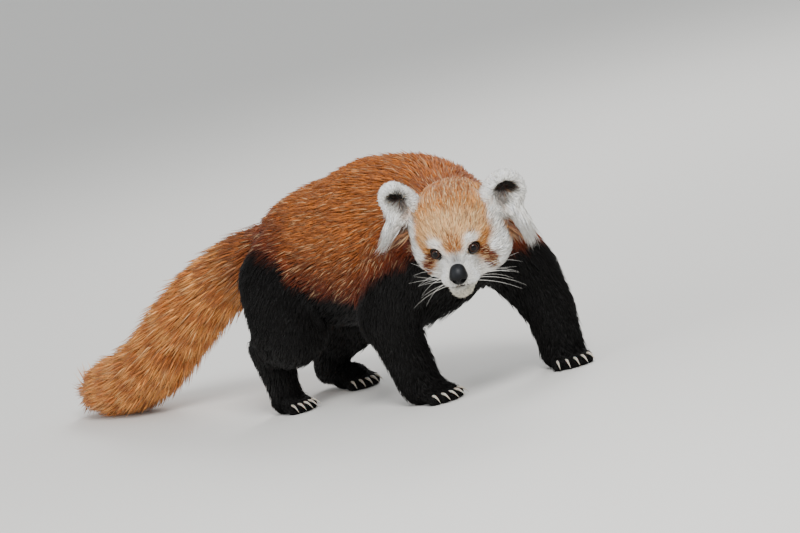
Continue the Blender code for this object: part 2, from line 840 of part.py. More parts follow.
def face_depth(side, up):
    """How far forward the face's surface lies at a place beside and above the middle of the head."""
    depths = np.linspace(0.0, 90.0, 361)
    line = np.array([on_head((depth, side, up)) for depth in depths])
    return depths[np.flatnonzero(head_field(line) < 0.0)[-1]]


def eye_centre(side):
    """Middle of one eye, set so deep that it bulges a little from the face."""
    beside = side * EYE_SPACING / 2.0
    return on_head((face_depth(beside, EYE_UP) + EYE_BULGE - EYE_RADIUS, beside, EYE_UP))


def build_eyes(head):
    """Both eyes in sockets of the head, and the groove between the lips."""
    cut(head, mouth_line(0.0, LIP_THICKNESS * 0.65))
    for side, name in ((1, "eye_left"), (-1, "eye_right")):
        centre = eye_centre(side)
        cut(head, globe(centre, EYE_RADIUS + GAP, 9))
        finished(globe(centre, EYE_RADIUS, 9), name, "eye")
    keep_largest(head)


def build_nose(head):
    """Nose pad with two nostrils, seated on the muzzle."""
    centre = on_head(NOSE_CENTRE)

    def placed(points):
        own = (points - centre) @ HEAD_TURN
        pad = ball(own, (0, 0, 0), NOSE_RADII)
        for side in (-1, 1):
            hole = ball(own, (7.5, side * 5.0, -1.0), (4.5, 2.4, 2.2))
            pad = np.maximum(pad, -hole)
        return pad

    nose = surface(placed, centre - 14, centre + 14, NOSE_MESH)
    cut(nose, inflated(head, GAP + 0.1))
    keep_largest(nose)
    finished(nose, "nose", "nose")


def build_claws(parts):
    """Five bent claws on each foot, cut clear of the toes."""
    for name, paw in PAWS.items():
        turn = np.array(Matrix.Rotation(math.radians(paw["heading"]), 3, "Z"))
        foot = np.array((*paw["ball"], 0.0))
        for number, toe in enumerate(toe_lines(paw["half_width"], paw["half_length"])):
            root, tip = np.array(toe[0][:3]), np.array(toe[1][:3])
            ahead = tip - root
            ahead[2] = 0.0
            ahead /= np.linalg.norm(ahead)
            stations = []
            for share, rise, radius in ((-0.1, 5.0, 1.0), (0.5, 4.6, 0.9), (1.0, -1.8, 0.15)):
                place = tip + ahead * (TOE_RADIUS - 3.0 + share * CLAW_LENGTH * 0.8)
                place = turn @ (place + np.array((0, 0, rise - 1.0))) + foot
                stations.append((*place, radius * CLAW_RADIUS))
            claw = tube(stations, 4)
            cut(claw, inflated(parts[name + "_paw"], GAP + 0.1))
            keep_largest(claw)
            finished(claw, f"{name}_claw_{number + 1}", "claw")


def centre_on_origin():
    """Moves all meshes so that the middle of the animal's box is over the origin."""
    things = [thing for thing in bpy.data.objects if thing.type == "MESH"]
    boxes = [bounds(thing) for thing in things]
    low = np.min([box[0] for box in boxes], axis=0)
    high = np.max([box[1] for box in boxes], axis=0)
    middle = (low + high) / 2.0
    shift = Matrix.Translation(Vector((-middle[0], -middle[1], -low[2])) * MM)
    for thing in things:
        thing.data.transform(shift)


def main():
    for thing in list(bpy.data.objects):
        bpy.data.objects.remove(thing)
    parts = build_flesh()
    build_ears(parts["head"])
    build_nose(parts["head"])
    build_eyes(parts["head"])
    build_claws(parts)
    centre_on_origin()


main()
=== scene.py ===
import json
import math

import bmesh
import bpy
import numpy as np
from mathutils import Matrix, Vector

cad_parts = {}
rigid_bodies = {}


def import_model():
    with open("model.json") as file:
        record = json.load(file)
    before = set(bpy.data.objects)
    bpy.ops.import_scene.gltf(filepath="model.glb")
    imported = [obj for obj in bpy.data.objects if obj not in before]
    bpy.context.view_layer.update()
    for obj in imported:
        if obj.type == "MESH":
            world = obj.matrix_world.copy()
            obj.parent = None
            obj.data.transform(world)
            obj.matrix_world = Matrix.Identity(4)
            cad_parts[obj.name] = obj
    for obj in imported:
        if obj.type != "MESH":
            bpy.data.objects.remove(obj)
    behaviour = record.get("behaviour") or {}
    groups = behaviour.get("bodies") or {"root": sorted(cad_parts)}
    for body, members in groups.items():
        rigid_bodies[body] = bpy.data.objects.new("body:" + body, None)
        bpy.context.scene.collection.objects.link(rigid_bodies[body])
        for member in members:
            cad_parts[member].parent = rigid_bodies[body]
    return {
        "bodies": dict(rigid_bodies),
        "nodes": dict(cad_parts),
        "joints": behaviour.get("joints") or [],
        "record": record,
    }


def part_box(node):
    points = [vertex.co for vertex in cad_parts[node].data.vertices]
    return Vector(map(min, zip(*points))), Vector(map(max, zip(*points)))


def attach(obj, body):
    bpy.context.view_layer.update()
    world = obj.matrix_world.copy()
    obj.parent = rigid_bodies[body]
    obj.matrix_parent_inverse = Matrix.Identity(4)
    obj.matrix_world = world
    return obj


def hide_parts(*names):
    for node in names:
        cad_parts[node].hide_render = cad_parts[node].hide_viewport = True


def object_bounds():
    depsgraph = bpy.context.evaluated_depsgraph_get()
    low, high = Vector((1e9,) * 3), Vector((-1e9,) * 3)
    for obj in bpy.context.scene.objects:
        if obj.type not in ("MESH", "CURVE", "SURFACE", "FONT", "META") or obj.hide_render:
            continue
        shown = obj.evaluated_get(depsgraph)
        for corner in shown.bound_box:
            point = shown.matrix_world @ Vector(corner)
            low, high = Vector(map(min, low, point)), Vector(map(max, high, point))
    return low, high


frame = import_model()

# Finished look of a life-size red panda that walks with its face turned to its right.
# One skin covers the flesh, and the coat is thin tufts that grow from it and follow its lie.
# Landmarks are in millimetres in the animal's own frame: x ahead, y to its left, z up.
CAD_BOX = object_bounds()
MM = 0.001
FAR = 1e3
SIDES = (-1, 1)

# Head pose and centre
FACE_YAW = math.radians(-55.0)
FACE_PITCH = math.radians(22.0)
FACE_ROLL = math.radians(-3.0)
HEAD_CENTRE = (220.4, -73.6, 188.0)

# Trunk
BACK_TOP = 276.0
BELLY = 72.0
TRUNK_HALF_WIDTH = 78.0

# Features of the head in its own frame: x to the nose, y to its left, z up
SKULL_HALF_WIDTH = 50.0
EYE_BULGE = 2.6
EYE_SPACING = 39.5
EYE_UP = 2.0
EYE_RADIUS = 7.4
EYE_OUTWARD = math.radians(14.0)
EYE_UPWARD = math.radians(17.0)
EYE_HALF_WIDTH = 5.9
EYE_HALF_HEIGHT = 5.5
CORNEA_BULGE = 0.55
LID_THICKNESS = 1.3
MOUTH_UP = -32.5
MOUTH_HALF_WIDTH = 15.0
MOUTH_DEPTH = 2.4
MOUTH_WIDTH = 1.5
NOSE_CENTRE = (60.5, 0.0, -18.5)
NOSE_RADII = (9.2, 10.6, 9.6)
# Ears: the animal's left one is 1, its right one -1
EAR_CENTRES = {1: (-12.0, 59.0, 33.0), -1: (-12.0, -54.0, 42.5)}
EAR_RADII = {1: (14.0, 26.5, 28.0), -1: (14.0, 24.0, 27.0)}
EAR_TILT = math.radians(-26.0)
EAR_OUTWARD = math.radians(24.0)
EAR_CUP_SHARE = (0.69, 0.67)
EAR_TUFT_LENGTH = 58.0
EAR_TUFT_TIPS = {1: (-8.0, 78.0, -34.0), -1: (-8.0, -88.0, -12.0)}
CHEEK_REACH = {1: 29.0, -1: 24.5}

# Limb landmarks: x, y, z and the radius of the furred limb there
LEGS = {
    "front_right": [(112, -44, 168, 44), (76, -62, 100, 35), (86, -62, 66, 27), (94, -60, 30, 25)],
    "front_left": [(144, 44, 168, 46), (178, 64, 108, 36), (194, 68, 66, 29), (198, 68, 30, 25)],
    "hind_right": [(-92, -44, 146, 52), (-86, -60, 96, 44), (-124, -58, 76, 26), (-122, -56, 34, 19)],
    "hind_left": [(-92, 44, 146, 52), (-84, 56, 92, 44), (-134, 52, 52, 25), (-148, 48, 24, 19)],
}
PAWS = {
    "front_right": {"ball": (112, -61), "heading": -8.0, "half_width": 23.0, "half_length": 26.0},
    "front_left": {"ball": (207, 62), "heading": -30.0, "half_width": 23.0, "half_length": 25.0},
    "hind_right": {"ball": (-116, -55), "heading": -10.0, "half_width": 19.0, "half_length": 20.0},
    "hind_left": {"ball": (-112, 45), "heading": -18.0, "half_width": 20.0, "half_length": 26.0},
}
PAW_HEIGHT = 15.0
TOES = 5
TOE_RADIUS = 7.0
TOE_FAN = 13.0
CLAW_LENGTH = 15.0
CLAW_RADIUS = 1.9
NECK = [(190, -48, 186, 50), (132, -4, 194, 60)]
TAIL = [
    (-140, 0, 182, 36),
    (-205, -2, 162, 40),
    (-265, -4, 134, 43),
    (-325, -4, 97, 44),
    (-380, -2, 60, 43),
    (-430, 3, 40, 41),
    (-476, 10, 33, 35),
    (-504, 16, 28, 25),
]
TAIL_FLESH = 0.50
TAIL_RING_SPACING = 44.0

# Coat of each region: hair length, tuft width, depth out to the tips, tufts on each square millimetre
COATS = {
    "trunk": (24.0, 1.7, 9.0, 0.27),
    "neck": (22.0, 1.6, 8.0, 0.32),
    "head": (17.0, 1.0, 3.6, 0.90),
    "ears": (8.0, 0.9, 2.4, 1.0),
    "tail": (38.0, 2.2, 0.0, 0.34),
    "front_right": (17.0, 1.6, 5.0, 0.33),
    "front_left": (17.0, 1.6, 5.0, 0.33),
    "hind_right": (18.0, 1.6, 5.0, 0.33),
    "hind_left": (18.0, 1.6, 5.0, 0.33),
    "paws": (10.0, 1.25, 2.6, 0.60),
}
REGIONS = list(COATS)

# Widths over which the regions run together, one after another, from the trunk on
JOIN_WIDTHS = {"neck": 26.0, "head": 16.0}
JOIN_WIDTHS |= dict.fromkeys(LEGS, 18.0)
JOIN_WIDTHS |= {"paws": 12.0, "tail": 16.0, "ears": 8.0}
BLEND_REACH = 9.0

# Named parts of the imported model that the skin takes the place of
FLESH = ["head", "neck", "torso", "ear_left", "ear_right", "tail_1", "tail_2", "tail_3", "tail_4"]
FLESH += [name + part for name in LEGS for part in ("_leg", "_paw")]

# Box and step of the skin's net, step of the nose's, and heights that keep the feet on the floor
SKIN_BOX = ((-545, -150, -4), (330, 150, 300))
SKIN_STEP = 2.3
NOSE_STEP = 0.6
SKIN_ABOVE_FLOOR = 0.4
TUFTS_ABOVE_FLOOR = 0.6
BARE_BELOW = 1.2

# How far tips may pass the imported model's box
TIP_MARGIN = 7.0

# Shares of a tuft's length at which it takes its marking and at which it bends
SEEN_SHARE = 0.45
TUFT_BEND = 0.45

# Size of the locks that tips gather in, and how far they move towards their middle
LOCK_SIZE = 6.0
LOCK_SHARE = 0.3

# Share of long guard hairs, thinning of the coat towards the nose, and lift of the hair that hangs free
GUARD_SHARE = 0.12
FACE_TAPER = 1.8
FREE_LIFT = 20.0
SEED = 7

# Shade of a tuft's seven corners, from its dark root to its light tip; the dark root is painted shade deep in
# the coat
PAINTED_SHADE_ROOT_TO_TIP = np.array((0.55, 0.55, 0.55, 0.95, 0.95, 0.95, 1.18))

# Where the coat of the head and of the tail is cut into pieces
FACE_AHEAD_OF = 24.0
CROWN_ABOVE = 6.0
TAIL_ROOT_AHEAD_OF = -320.0

# Rings of the lids: how far outside the eye's opening, how high, and how much they follow the skin
LID_RINGS = ((-0.35, 0.1, 0), (0, 0.7, 0), (0.5, 0.8, 0.2), (1.1, 0.0, 0.8), (2.0, -2.0, 1))

# Counts and sizes of the small pieces
EYE_RINGS = 46
EYE_SIDES = 48
LID_SIDES = 40
CLAW_RINGS = 12
CLAW_SIDES = 10
WHISKERS_EACH_SIDE = 11
WHISKER_ROWS = 3
WHISKER_RINGS = 14
WHISKER_SIDES = 5
WHISKER_RADIUS = 0.28

# Viewer's camera, in pixels of a picture of this width and height
PICTURE_WIDTH = 800
PICTURE_HEIGHT = 533
CAMERA_AZIMUTH = math.radians(45.0)
CAMERA_ELEVATION = math.radians(8.0)
CAMERA_ROLL = math.radians(14.0)
CAMERA_DISTANCE = 6.0
FOCAL_PIXELS = 5550.0
EYES_AT = (455.0, 250.0)
SENSOR_WIDTH = 36.0

# Lamps: place, size across and power, in metres and watts
LAMPS = {
    "key": ((1.7, -1.2, 2.0), 0.8, 68.0),
    "fill": ((-0.6, -2.4, 1.2), 1.8, 20.0),
    "rim": ((-0.9, 1.9, 1.8), 1.0, 34.0),
}
LIT_POINT = (0.0, 0.0, 0.15)
ROOM_LIGHT = 0.95
FLOOR_HALF_WIDTH = 12.0


def head_turn():
    """Rotation from the head's own frame to the animal's frame."""
    yaw = Matrix.Rotation(FACE_YAW, 3, "Z")
    pitch = Matrix.Rotation(FACE_PITCH, 3, "Y")
    roll = Matrix.Rotation(FACE_ROLL, 3, "X")
    return np.array(yaw @ pitch @ roll)


HEAD_TURN = head_turn()


def on_head(point):
    """A point given in the head's frame, in the animal's frame."""
    return HEAD_TURN @ np.array(point, float) + np.array(HEAD_CENTRE)


def in_head(points):
    """Points in the head's own frame."""
    return (points - np.array(HEAD_CENTRE)) @ HEAD_TURN


def in_frame(points, frame):
    """Points in a frame that is given by its turn and its centre."""
    turn, centre = frame
    return (points - centre) @ turn


def span(offsets):
    """Length of each row."""
    return np.linalg.norm(offsets, axis=1)


def unit(ways):
    """Directions of length one."""
    return ways / np.maximum(np.linalg.norm(ways, axis=1, keepdims=True), 1e-6)


# Forms of the flesh, as distances from its surface: less than nothing inside


def ball(points, centre, radii):
    """Distance to an ellipsoid, close to true near its surface."""
    offset = points - np.array(centre, float)
    radii = np.array(radii, float)
    near = span(offset / radii)
    slope = span(offset / radii**2)
    return near * (near - 1.0) / np.maximum(slope, 1e-6)


def lengths_along(points, stations):
    """For each length of a chain: its ends, its way, how far along it each point is, and how far away."""
    for start, end in zip(stations, stations[1:]):
        start, end = np.array(start, float), np.array(end, float)
        along = end[:3] - start[:3]
        share = np.clip((points - start[:3]) @ along / (along @ along), 0.0, 1.0)
        nearest = start[:3] + share[:, None] * along
        yield start, end, along, share, span(points - nearest)


def limb(points, stations):
    """Distance to a chain of tapered round lengths."""
    result = np.full(len(points), np.inf)
    for start, end, _, share, away in lengths_along(points, stations):
        result = np.minimum(result, away - (start[3] + share * (end[3] - start[3])))
    return result


def blend(first, second, width):
    """Smooth union of two distances."""
    overlap = np.maximum(width - np.abs(first - second), 0.0) / width
    return np.minimum(first, second) - overlap * overlap * width / 4.0


def soft(value, low, high):
    """Smooth step from nothing at low to one at high."""
    share = np.clip((value - low) / (high - low), 0.0, 1.0)
    return share * share * (3.0 - 2.0 * share)


def trunk_form(points):
    """Rump, loin, ribs and chest, with the arched back of a walking animal."""
    height = BACK_TOP - BELLY
    middle = (BACK_TOP + BELLY) / 2.0
    rump = ball(points, (-92, 0, middle - 8), (62, 60, 0.34 * height))
    loin = ball(points, (-32, 0, middle - 4), (86, 70, 0.41 * height))
    ribs = ball(points, (38, 0, middle + 1), (92, TRUNK_HALF_WIDTH - 2, 0.475 * height))
    chest = ball(points, (100, 0, middle + 9), (68, 64, 0.42 * height))
    breast = ball(points, (122, 8, middle - 33), (48, 50, 0.21 * height))
    return blend(blend(rump, loin, 30.0), blend(blend(ribs, chest, 30.0), breast, 20.0), 24.0)


def head_form(points):
    """Skull, brow, cheeks, muzzle and chin."""
    own = in_head(points)
    skull = ball(own, (-8, 0, 8), (54, SKULL_HALF_WIDTH, 49))
    brow = ball(own, (20, 0, 12), (24, 34, 24))
    field = blend(skull, brow, 14.0)
    for side in SIDES:
        reach = CHEEK_REACH[side]
        cheek = ball(own, (0, side * reach, -17), (34, reach, reach + 2))
        field = blend(field, cheek, 14.0)
        lip = ball(own, (47, side * 8.5, -26), (15, 13, 11))
        field = blend(field, lip, 8.0)
    bridge = limb(own, [(22, 0, -8, 22), (51, 0, -15, 11)])
    chin = ball(own, (40, -2, -41), (20, 13.5, 11))
    throat = ball(own, (10, 0, -30), (34, 30, 18))
    return blend(blend(blend(field, bridge, 12.0), chin, 8.0), throat, 14.0)


def toe_lines(half_width, half_length):
    """Toes of one foot in its own frame, each from knuckle to tip."""
    lines = []
    for spread in np.linspace(-1.0, 1.0, TOES):
        angle = math.radians(spread * TOE_FAN)
        side = -spread * (half_width - TOE_RADIUS)
        start = half_length * 0.30
        reach = half_length * (0.86 - 0.26 * spread * spread)
        tip = (start + reach * math.cos(angle), side - reach * 0.5 * math.sin(angle))
        lines.append([(start - 8, side * 0.8, 14, TOE_RADIUS + 1), (*tip, TOE_RADIUS - 1.5, TOE_RADIUS)])
    return lines


def paw_frame(name):
    """Turn and place of one foot."""
    paw = PAWS[name]
    return np.array(Matrix.Rotation(math.radians(paw["heading"]), 3, "Z")), np.array((*paw["ball"], 0.0))


def paw_form(points, name):
    """Pad and five toes of one foot, flat where it stands."""
    own = in_frame(points, paw_frame(name))
    half_width, half_length = PAWS[name]["half_width"], PAWS[name]["half_length"]
    field = ball(own, (-6, 0, PAW_HEIGHT - 3), (half_length, half_width, PAW_HEIGHT + 1))
    for toe in toe_lines(half_width, half_length):
        field = blend(field, limb(own, toe), 4.0)
    return field


def ear_frame(side):
    """Turn and centre of one ear."""
    tilt = Matrix.Rotation(EAR_TILT * side, 3, "X")
    face_out = Matrix.Rotation(EAR_OUTWARD * side, 3, "Z")
    return HEAD_TURN @ np.array(face_out @ tilt), on_head(EAR_CENTRES[side])


def ear_form(points, side):
    """Round ear with a deep cup."""
    own = in_frame(points, ear_frame(side))
    thick, wide, tall = EAR_RADII[side]
    shell = ball(own, (0, 0, 0), (thick, wide, tall))
    cup = ball(own, (thick, 0, 0), (thick + 1, wide * EAR_CUP_SHARE[0], tall * EAR_CUP_SHARE[1]))
    return np.maximum(shell, -cup)


def forms(points):
    """Distance to each region of the flesh, out to the tips of the coat."""
    found = {"trunk": trunk_form(points), "neck": limb(points, NECK), "head": head_form(points)}
    found["ears"] = np.minimum(ear_form(points, 1), ear_form(points, -1))
    found["tail"] = limb(points, TAIL)
    found["paws"] = np.full(len(points), FAR)
    for name, stations in LEGS.items():
        found[name] = limb(points, stations)
        found["paws"] = np.minimum(found["paws"], paw_form(points, name))
    return found


def shares(found):
    """How much each region has a say at each point, one column for each region."""
    nearness = np.stack([-found[name] / BLEND_REACH for name in REGIONS], axis=1)
    nearness -= nearness.max(axis=1, keepdims=True)
    weight = np.exp(nearness)
    return weight / weight.sum(axis=1, keepdims=True)


def share_of(weight, name):
    """One region's column of the shares."""
    return weight[:, REGIONS.index(name)]


def coat_mean(weight, column):
    """Mean of one measure of the regions' coats at each point."""
    return weight @ np.array([COATS[name][column] for name in REGIONS])


def tail_radius(points):
    """Radius out to the coat's tips at the nearest place along the tail."""
    xs = [station[0] for station in TAIL][::-1]
    radii = [station[3] for station in TAIL][::-1]
    return np.interp(points[:, 0], xs, radii)


def coat_depth(points, found):
    """How deep the skin lies under the tips of the coat."""
    weight = shares(found)
    depth = coat_mean(weight, 2)
    depth += share_of(weight, "tail") * tail_radius(points) * (1.0 - TAIL_FLESH)
    return depth - FACE_TAPER * share_of(weight, "head") * soft(in_head(points)[:, 0], 18.0, 44.0)


def joined(found):
    """The regions' distances, run together smoothly."""
    field = found["trunk"]
    for name, width in JOIN_WIDTHS.items():
        field = blend(field, found[name], width)
    return field


def skin_form(points):
    """The skin under the coat, with the sockets of the eyes and the groove of the mouth."""
    found = forms(points)
    field = joined(found) + coat_depth(points, found)
    field = field + MOUTH_DEPTH * np.exp(-(mouth_gap(in_head(points)) / MOUTH_WIDTH) ** 2)
    return np.maximum(field, EYE_RADIUS + 0.2 - eye_gap(points))


def mouth_gap(own):
    """How far points of the face are from the line of the mouth."""
    beside = np.clip(np.abs(own[:, 1]) / MOUTH_HALF_WIDTH, 0.0, 1.6)
    line = MOUTH_UP - 2.2 * beside**1.5
    away = np.hypot(own[:, 2] - line, np.maximum(np.abs(own[:, 1]) - MOUTH_HALF_WIDTH, 0.0))
    return np.where(own[:, 0] > 30.0, away, FAR)


def face_depth(side, up):
    """How far forward the coat's surface lies at a place beside and above the middle of the head."""
    depths = np.linspace(0.0, 90.0, 361)
    line = np.array([on_head((depth, side, up)) for depth in depths])
    return depths[np.flatnonzero(head_form(line) < 0.0)[-1]]


def eye_centre(side):
    """Middle of one eye, set so deep that it bulges a little from the face."""
    beside = side * EYE_SPACING / 2.0
    return on_head((face_depth(beside, EYE_UP) + EYE_BULGE - EYE_RADIUS, beside, EYE_UP))


EYES = {side: eye_centre(side) for side in SIDES}


def eye_gap(points):
    """How far points are from the middle of the nearer eye."""
    return np.minimum(*[span(points - centre) for centre in EYES.values()])


def eye_frame(side):
    """Turn and centre of one eye, whose x axis is its line of sight."""
    outward = Matrix.Rotation(side * EYE_OUTWARD, 3, "Z")
    upward = Matrix.Rotation(-EYE_UPWARD, 3, "Y")
    return HEAD_TURN @ np.array(outward @ upward), EYES[side]


def frame_shift():
    """Way from the animal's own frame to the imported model, in millimetres, by the places of its eyes."""
    ways = []
    for side, name in ((1, "eye_left"), (-1, "eye_right")):
        low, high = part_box(name)
        ways.append(np.array((low + high) / 2.0) / MM - EYES[side])
    return np.mean(ways, axis=0)


SHIFT = frame_shift()


def placed(points):
    """Points of the animal's own frame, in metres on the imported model."""
    return (points + SHIFT) * MM


# Skin mesh


def net_cells(values):
    """Mean place of the crossings in each cell that the surface passes through, and four-sided faces."""
    inside = values < 0.0
    shape = np.array(values.shape)
    total = np.zeros((shape.prod(), 3), np.float32)
    count = np.zeros(shape.prod(), np.float32)
    quads = []
    for axis in range(3):
        first = [slice(0, size) for size in shape]
        second = list(first)
        first[axis] = slice(0, shape[axis] - 1)
        second[axis] = slice(1, shape[axis])
        low, high = values[tuple(first)], values[tuple(second)]
        crossing = np.argwhere((low < 0.0) != (high < 0.0))
        before = low[tuple(crossing.T)]
        after = high[tuple(crossing.T)]
        place = crossing.astype(float)
        place[:, axis] += before / (before - after)
        side, other = (axis + 1) % 3, (axis + 2) % 3
        ring = []
        for step_side, step_other in ((-1, -1), (0, -1), (0, 0), (-1, 0)):
            cell = crossing.copy()
            cell[:, side] += step_side
            cell[:, other] += step_other
            index = np.ravel_multi_index(tuple(cell.T), values.shape)
            np.add.at(total, index, place)
            np.add.at(count, index, 1.0)
            ring.append(index)
        ring = np.stack(ring, axis=1)
        outward = inside[tuple(crossing.T)]
        ring[~outward] = ring[~outward][:, ::-1]
        quads.append(ring)
    used = np.flatnonzero(count)
    renumber = np.zeros(len(count), int)
    renumber[used] = np.arange(len(used))
    return total[used] / count[used][:, None], renumber[np.concatenate(quads)]


def near_values(field, low, high, step, coarse=5):
    """Values of a field on a grid, worked out only near its surface and filled in roughly elsewhere."""
    block = step * coarse
    blocks = np.ceil((high - low) / block).astype(int) + 1
    centres = [low[i] + block * (np.arange(blocks[i]) + 0.5) for i in range(3)]
    mesh = np.stack(np.meshgrid(*centres, indexing="ij"), axis=-1).reshape(-1, 3)
    values = field(mesh).reshape(blocks)
    for axis in range(3):
        values = np.repeat(values, coarse, axis=axis)
    close = np.argwhere(np.abs(values) < 1.15 * block)
    values[tuple(close.T)] = field(low + step * close)
    return values


def settle(points, field, rounds, probe=0.4):
    """Moves points onto the field's surface along its slope."""
    for _ in range(rounds):
        slope = np.empty_like(points)
        for axis in range(3):
            shift = probe * np.eye(3)[axis]
            slope[:, axis] = (field(points + shift) - field(points - shift)) / (2.0 * probe)
        size = np.maximum((slope**2).sum(axis=1), 0.05)
        points = points - np.clip(slope * (field(points) / size)[:, None], -2.0, 2.0)
    return points


def relaxed(points, quads, rounds):
    """Evens out the spacing of the mesh's points."""
    edges = np.concatenate([quads[:, [i, (i + 1) % 4]] for i in range(4)])
    for _ in range(rounds):
        total = np.zeros_like(points)
        count = np.zeros(len(points))
        for a, b in ((0, 1), (1, 0)):
            np.add.at(total, edges[:, a], points[edges[:, b]])
            np.add.at(count, edges[:, a], 1.0)
        points = 0.5 * points + 0.5 * total / count[:, None]
    return points


def net_surface(field, low, high, step):
    """Points and four-sided faces of a field's surface in a box."""
    low, high = np.array(low, float), np.array(high, float)
    places, quads = net_cells(near_values(field, low, high, step))
    return settle(relaxed(low + places * step, quads, 2), field, 2), quads


def linked(name, data, material=None):
    """A new object with its data and material, put in the scene."""
    if material:
        data.materials.append(material)
    piece = bpy.data.objects.new(name, data)
    bpy.context.scene.collection.objects.link(piece)
    return piece


def mesh_piece(name, points, faces, material):
    """A smooth object from points of the animal's own frame and faces."""
    mesh = bpy.data.meshes.new(name)
    mesh.from_pydata(placed(points).tolist(), [], [tuple(int(i) for i in face) for face in faces])
    mesh.shade_smooth()
    return linked(name, mesh, material)


def triangle_piece(name, points, triangles, material):
    """A smooth object of many triangles, made in one go."""
    mesh = bpy.data.meshes.new(name)
    mesh.vertices.add(len(points))
    mesh.vertices.foreach_set("co", placed(points).astype(np.float32).ravel())
    mesh.loops.add(3 * len(triangles))
    mesh.loops.foreach_set("vertex_index", triangles.astype(np.int32).ravel())
    mesh.polygons.add(len(triangles))
    mesh.polygons.foreach_set("loop_start", np.arange(0, 3 * len(triangles), 3, dtype=np.int32))
    mesh.update(calc_edges=True)
    mesh.shade_smooth()
    return linked(name, mesh, material)


def read(items, key, width, kind=np.float32):
    """One property of all of a mesh's items, a row for each."""
    values = np.empty(len(items) * width, kind)
    items.foreach_get(key, values)
    return values.reshape(-1, width)


def own_points(piece):
    """A piece's points in the animal's own frame."""
    return read(piece.data.vertices, "co", 3).astype(float) / MM - SHIFT


def give_colours(piece, colours):
    """Keeps one linear colour on each point of a mesh."""
    layer = piece.data.color_attributes.new("coat_colour", "FLOAT_COLOR", "POINT")
    values = np.ones((len(piece.data.vertices), 4), np.float32)
    values[:, :3] = colours
    layer.data.foreach_set("color", values.ravel())


def give_map(piece, places):
    """Gives every corner of a mesh its place on the coat's own map."""
    layer = piece.data.uv_layers.new(name="OFBake")
    layer.data.foreach_set("uv", places.astype(np.float32).ravel())


def build_skin(material):
    """The one skin, with a finer net over the face, eyes and muzzle."""
    points, quads = net_surface(skin_form, *SKIN_BOX, SKIN_STEP)
    points[:, 2] = np.maximum(points[:, 2], SKIN_ABOVE_FLOOR)
    shape = bmesh.new()
    dots = [shape.verts.new(point) for point in points]
    for quad in quads:
        shape.faces.new([dots[i] for i in quad])
    shape.verts.index_update()
    quarter(shape, lambda own, centres: (own[:, 0] > 22.0) & (np.abs(own[:, 1]) < 42.0))
    quarter(shape, lambda own, centres: (eye_gap(centres) < 13.0) | (mouth_gap(own) < 4.0))
    bmesh.ops.triangulate(shape, faces=shape.faces[:])
    mesh = bpy.data.meshes.new("skin")
    shape.to_mesh(mesh)
    shape.free()
    places = read(mesh.vertices, "co", 3).astype(float)
    face = in_head(places)[:, 0] > 15.0
    places[face] = settle(places[face], skin_form, 2)
    places[:, 2] = np.maximum(places[:, 2], SKIN_ABOVE_FLOOR)
    mesh.vertices.foreach_set("co", placed(places).astype(np.float32).ravel())
    mesh.update()
    mesh.shade_smooth()
    return linked("skin", mesh, material)


def quarter(shape, rule):
    """Cuts the faces that a rule chooses into four."""
    centres = np.array([face.calc_center_median() for face in shape.faces])
    chosen = rule(in_head(centres), centres)
    shape.faces.ensure_lookup_table()
    edges = {edge for index in np.flatnonzero(chosen) for edge in shape.faces[index].edges}
    bmesh.ops.subdivide_edges(shape, edges=list(edges), cuts=1, use_grid_fill=True)


# Colours of the animal, as on its hair in even light, with some painted shade and a painted highlight on the
# nose


def linear(code):
    """Linear colour of an sRGB hex code."""
    parts = np.array([int(code[i : i + 2], 16) for i in (1, 3, 5)]) / 255.0
    return np.where(parts <= 0.04045, parts / 12.92, ((parts + 0.055) / 1.055) ** 2.4)


RUST = linear("#b3672c")
DEEP_RUST = linear("#6e2c12")
TAN = linear("#cf8d4c")
BUFF = linear("#e8c998")
BLACK = linear("#080605")
WHITE = linear("#fffcf5")
# Cream of the chin, partly its own pale colour and partly painted shade under the nose
CREAM_WITH_PAINTED_SHADE = linear("#ebe5d3")
TEAR = linear("#6e2a10")
TAIL_GOLD = linear("#ec9f55")
TAIL_DARK = linear("#b8662e")
GREY_BRIDGE = linear("#7f8288")
EAR_DARK = linear("#2a2825")
EAR_PINK = linear("#d2a488")
LID_BLACK = linear("#120e0d")
TAIL_ROOT = linear("#874720")
BROW_RUST = linear("#b0652c")
LIP_BROWN = linear("#5f5142")
EAR_BACK = linear("#5a2a18")
NOSE_BLACK = linear("#070708")
# Bluish grey painted highlight on the top of the nose
NOSE_PAINTED_HIGHLIGHT = linear("#1e2126")
FLOOR_PALE = linear("#d9d7d2")
ROOM_PALE = linear("#eceff2")

# Colours along ramps: for the eye by angle from the line of sight, for claws and whiskers by noise
IRIS_STOPS = ((0.0, "#010101"), (0.42, "#020101"), (0.47, "#1e0e06"))
IRIS_STOPS += ((0.62, "#3a1e0f"), (0.74, "#1c0d06"), (0.84, "#050303"))
CLAW_STOPS = ((0.0, "#8d8272"), (1.0, "#d9d2c5"))
WHISKER_STOPS = ((0.0, "#cfcac0"), (1.0, "#fbf9f4"))

# Height of the upper edge of the black at places along the body
BLACK_EDGE = {-150: 192, -100: 186, -66: 173, -46: 146, -22: 134, 31: 120}
BLACK_EDGE |= {60: 130, 86: 145, 116: 160, 138: 167, 230: 168}

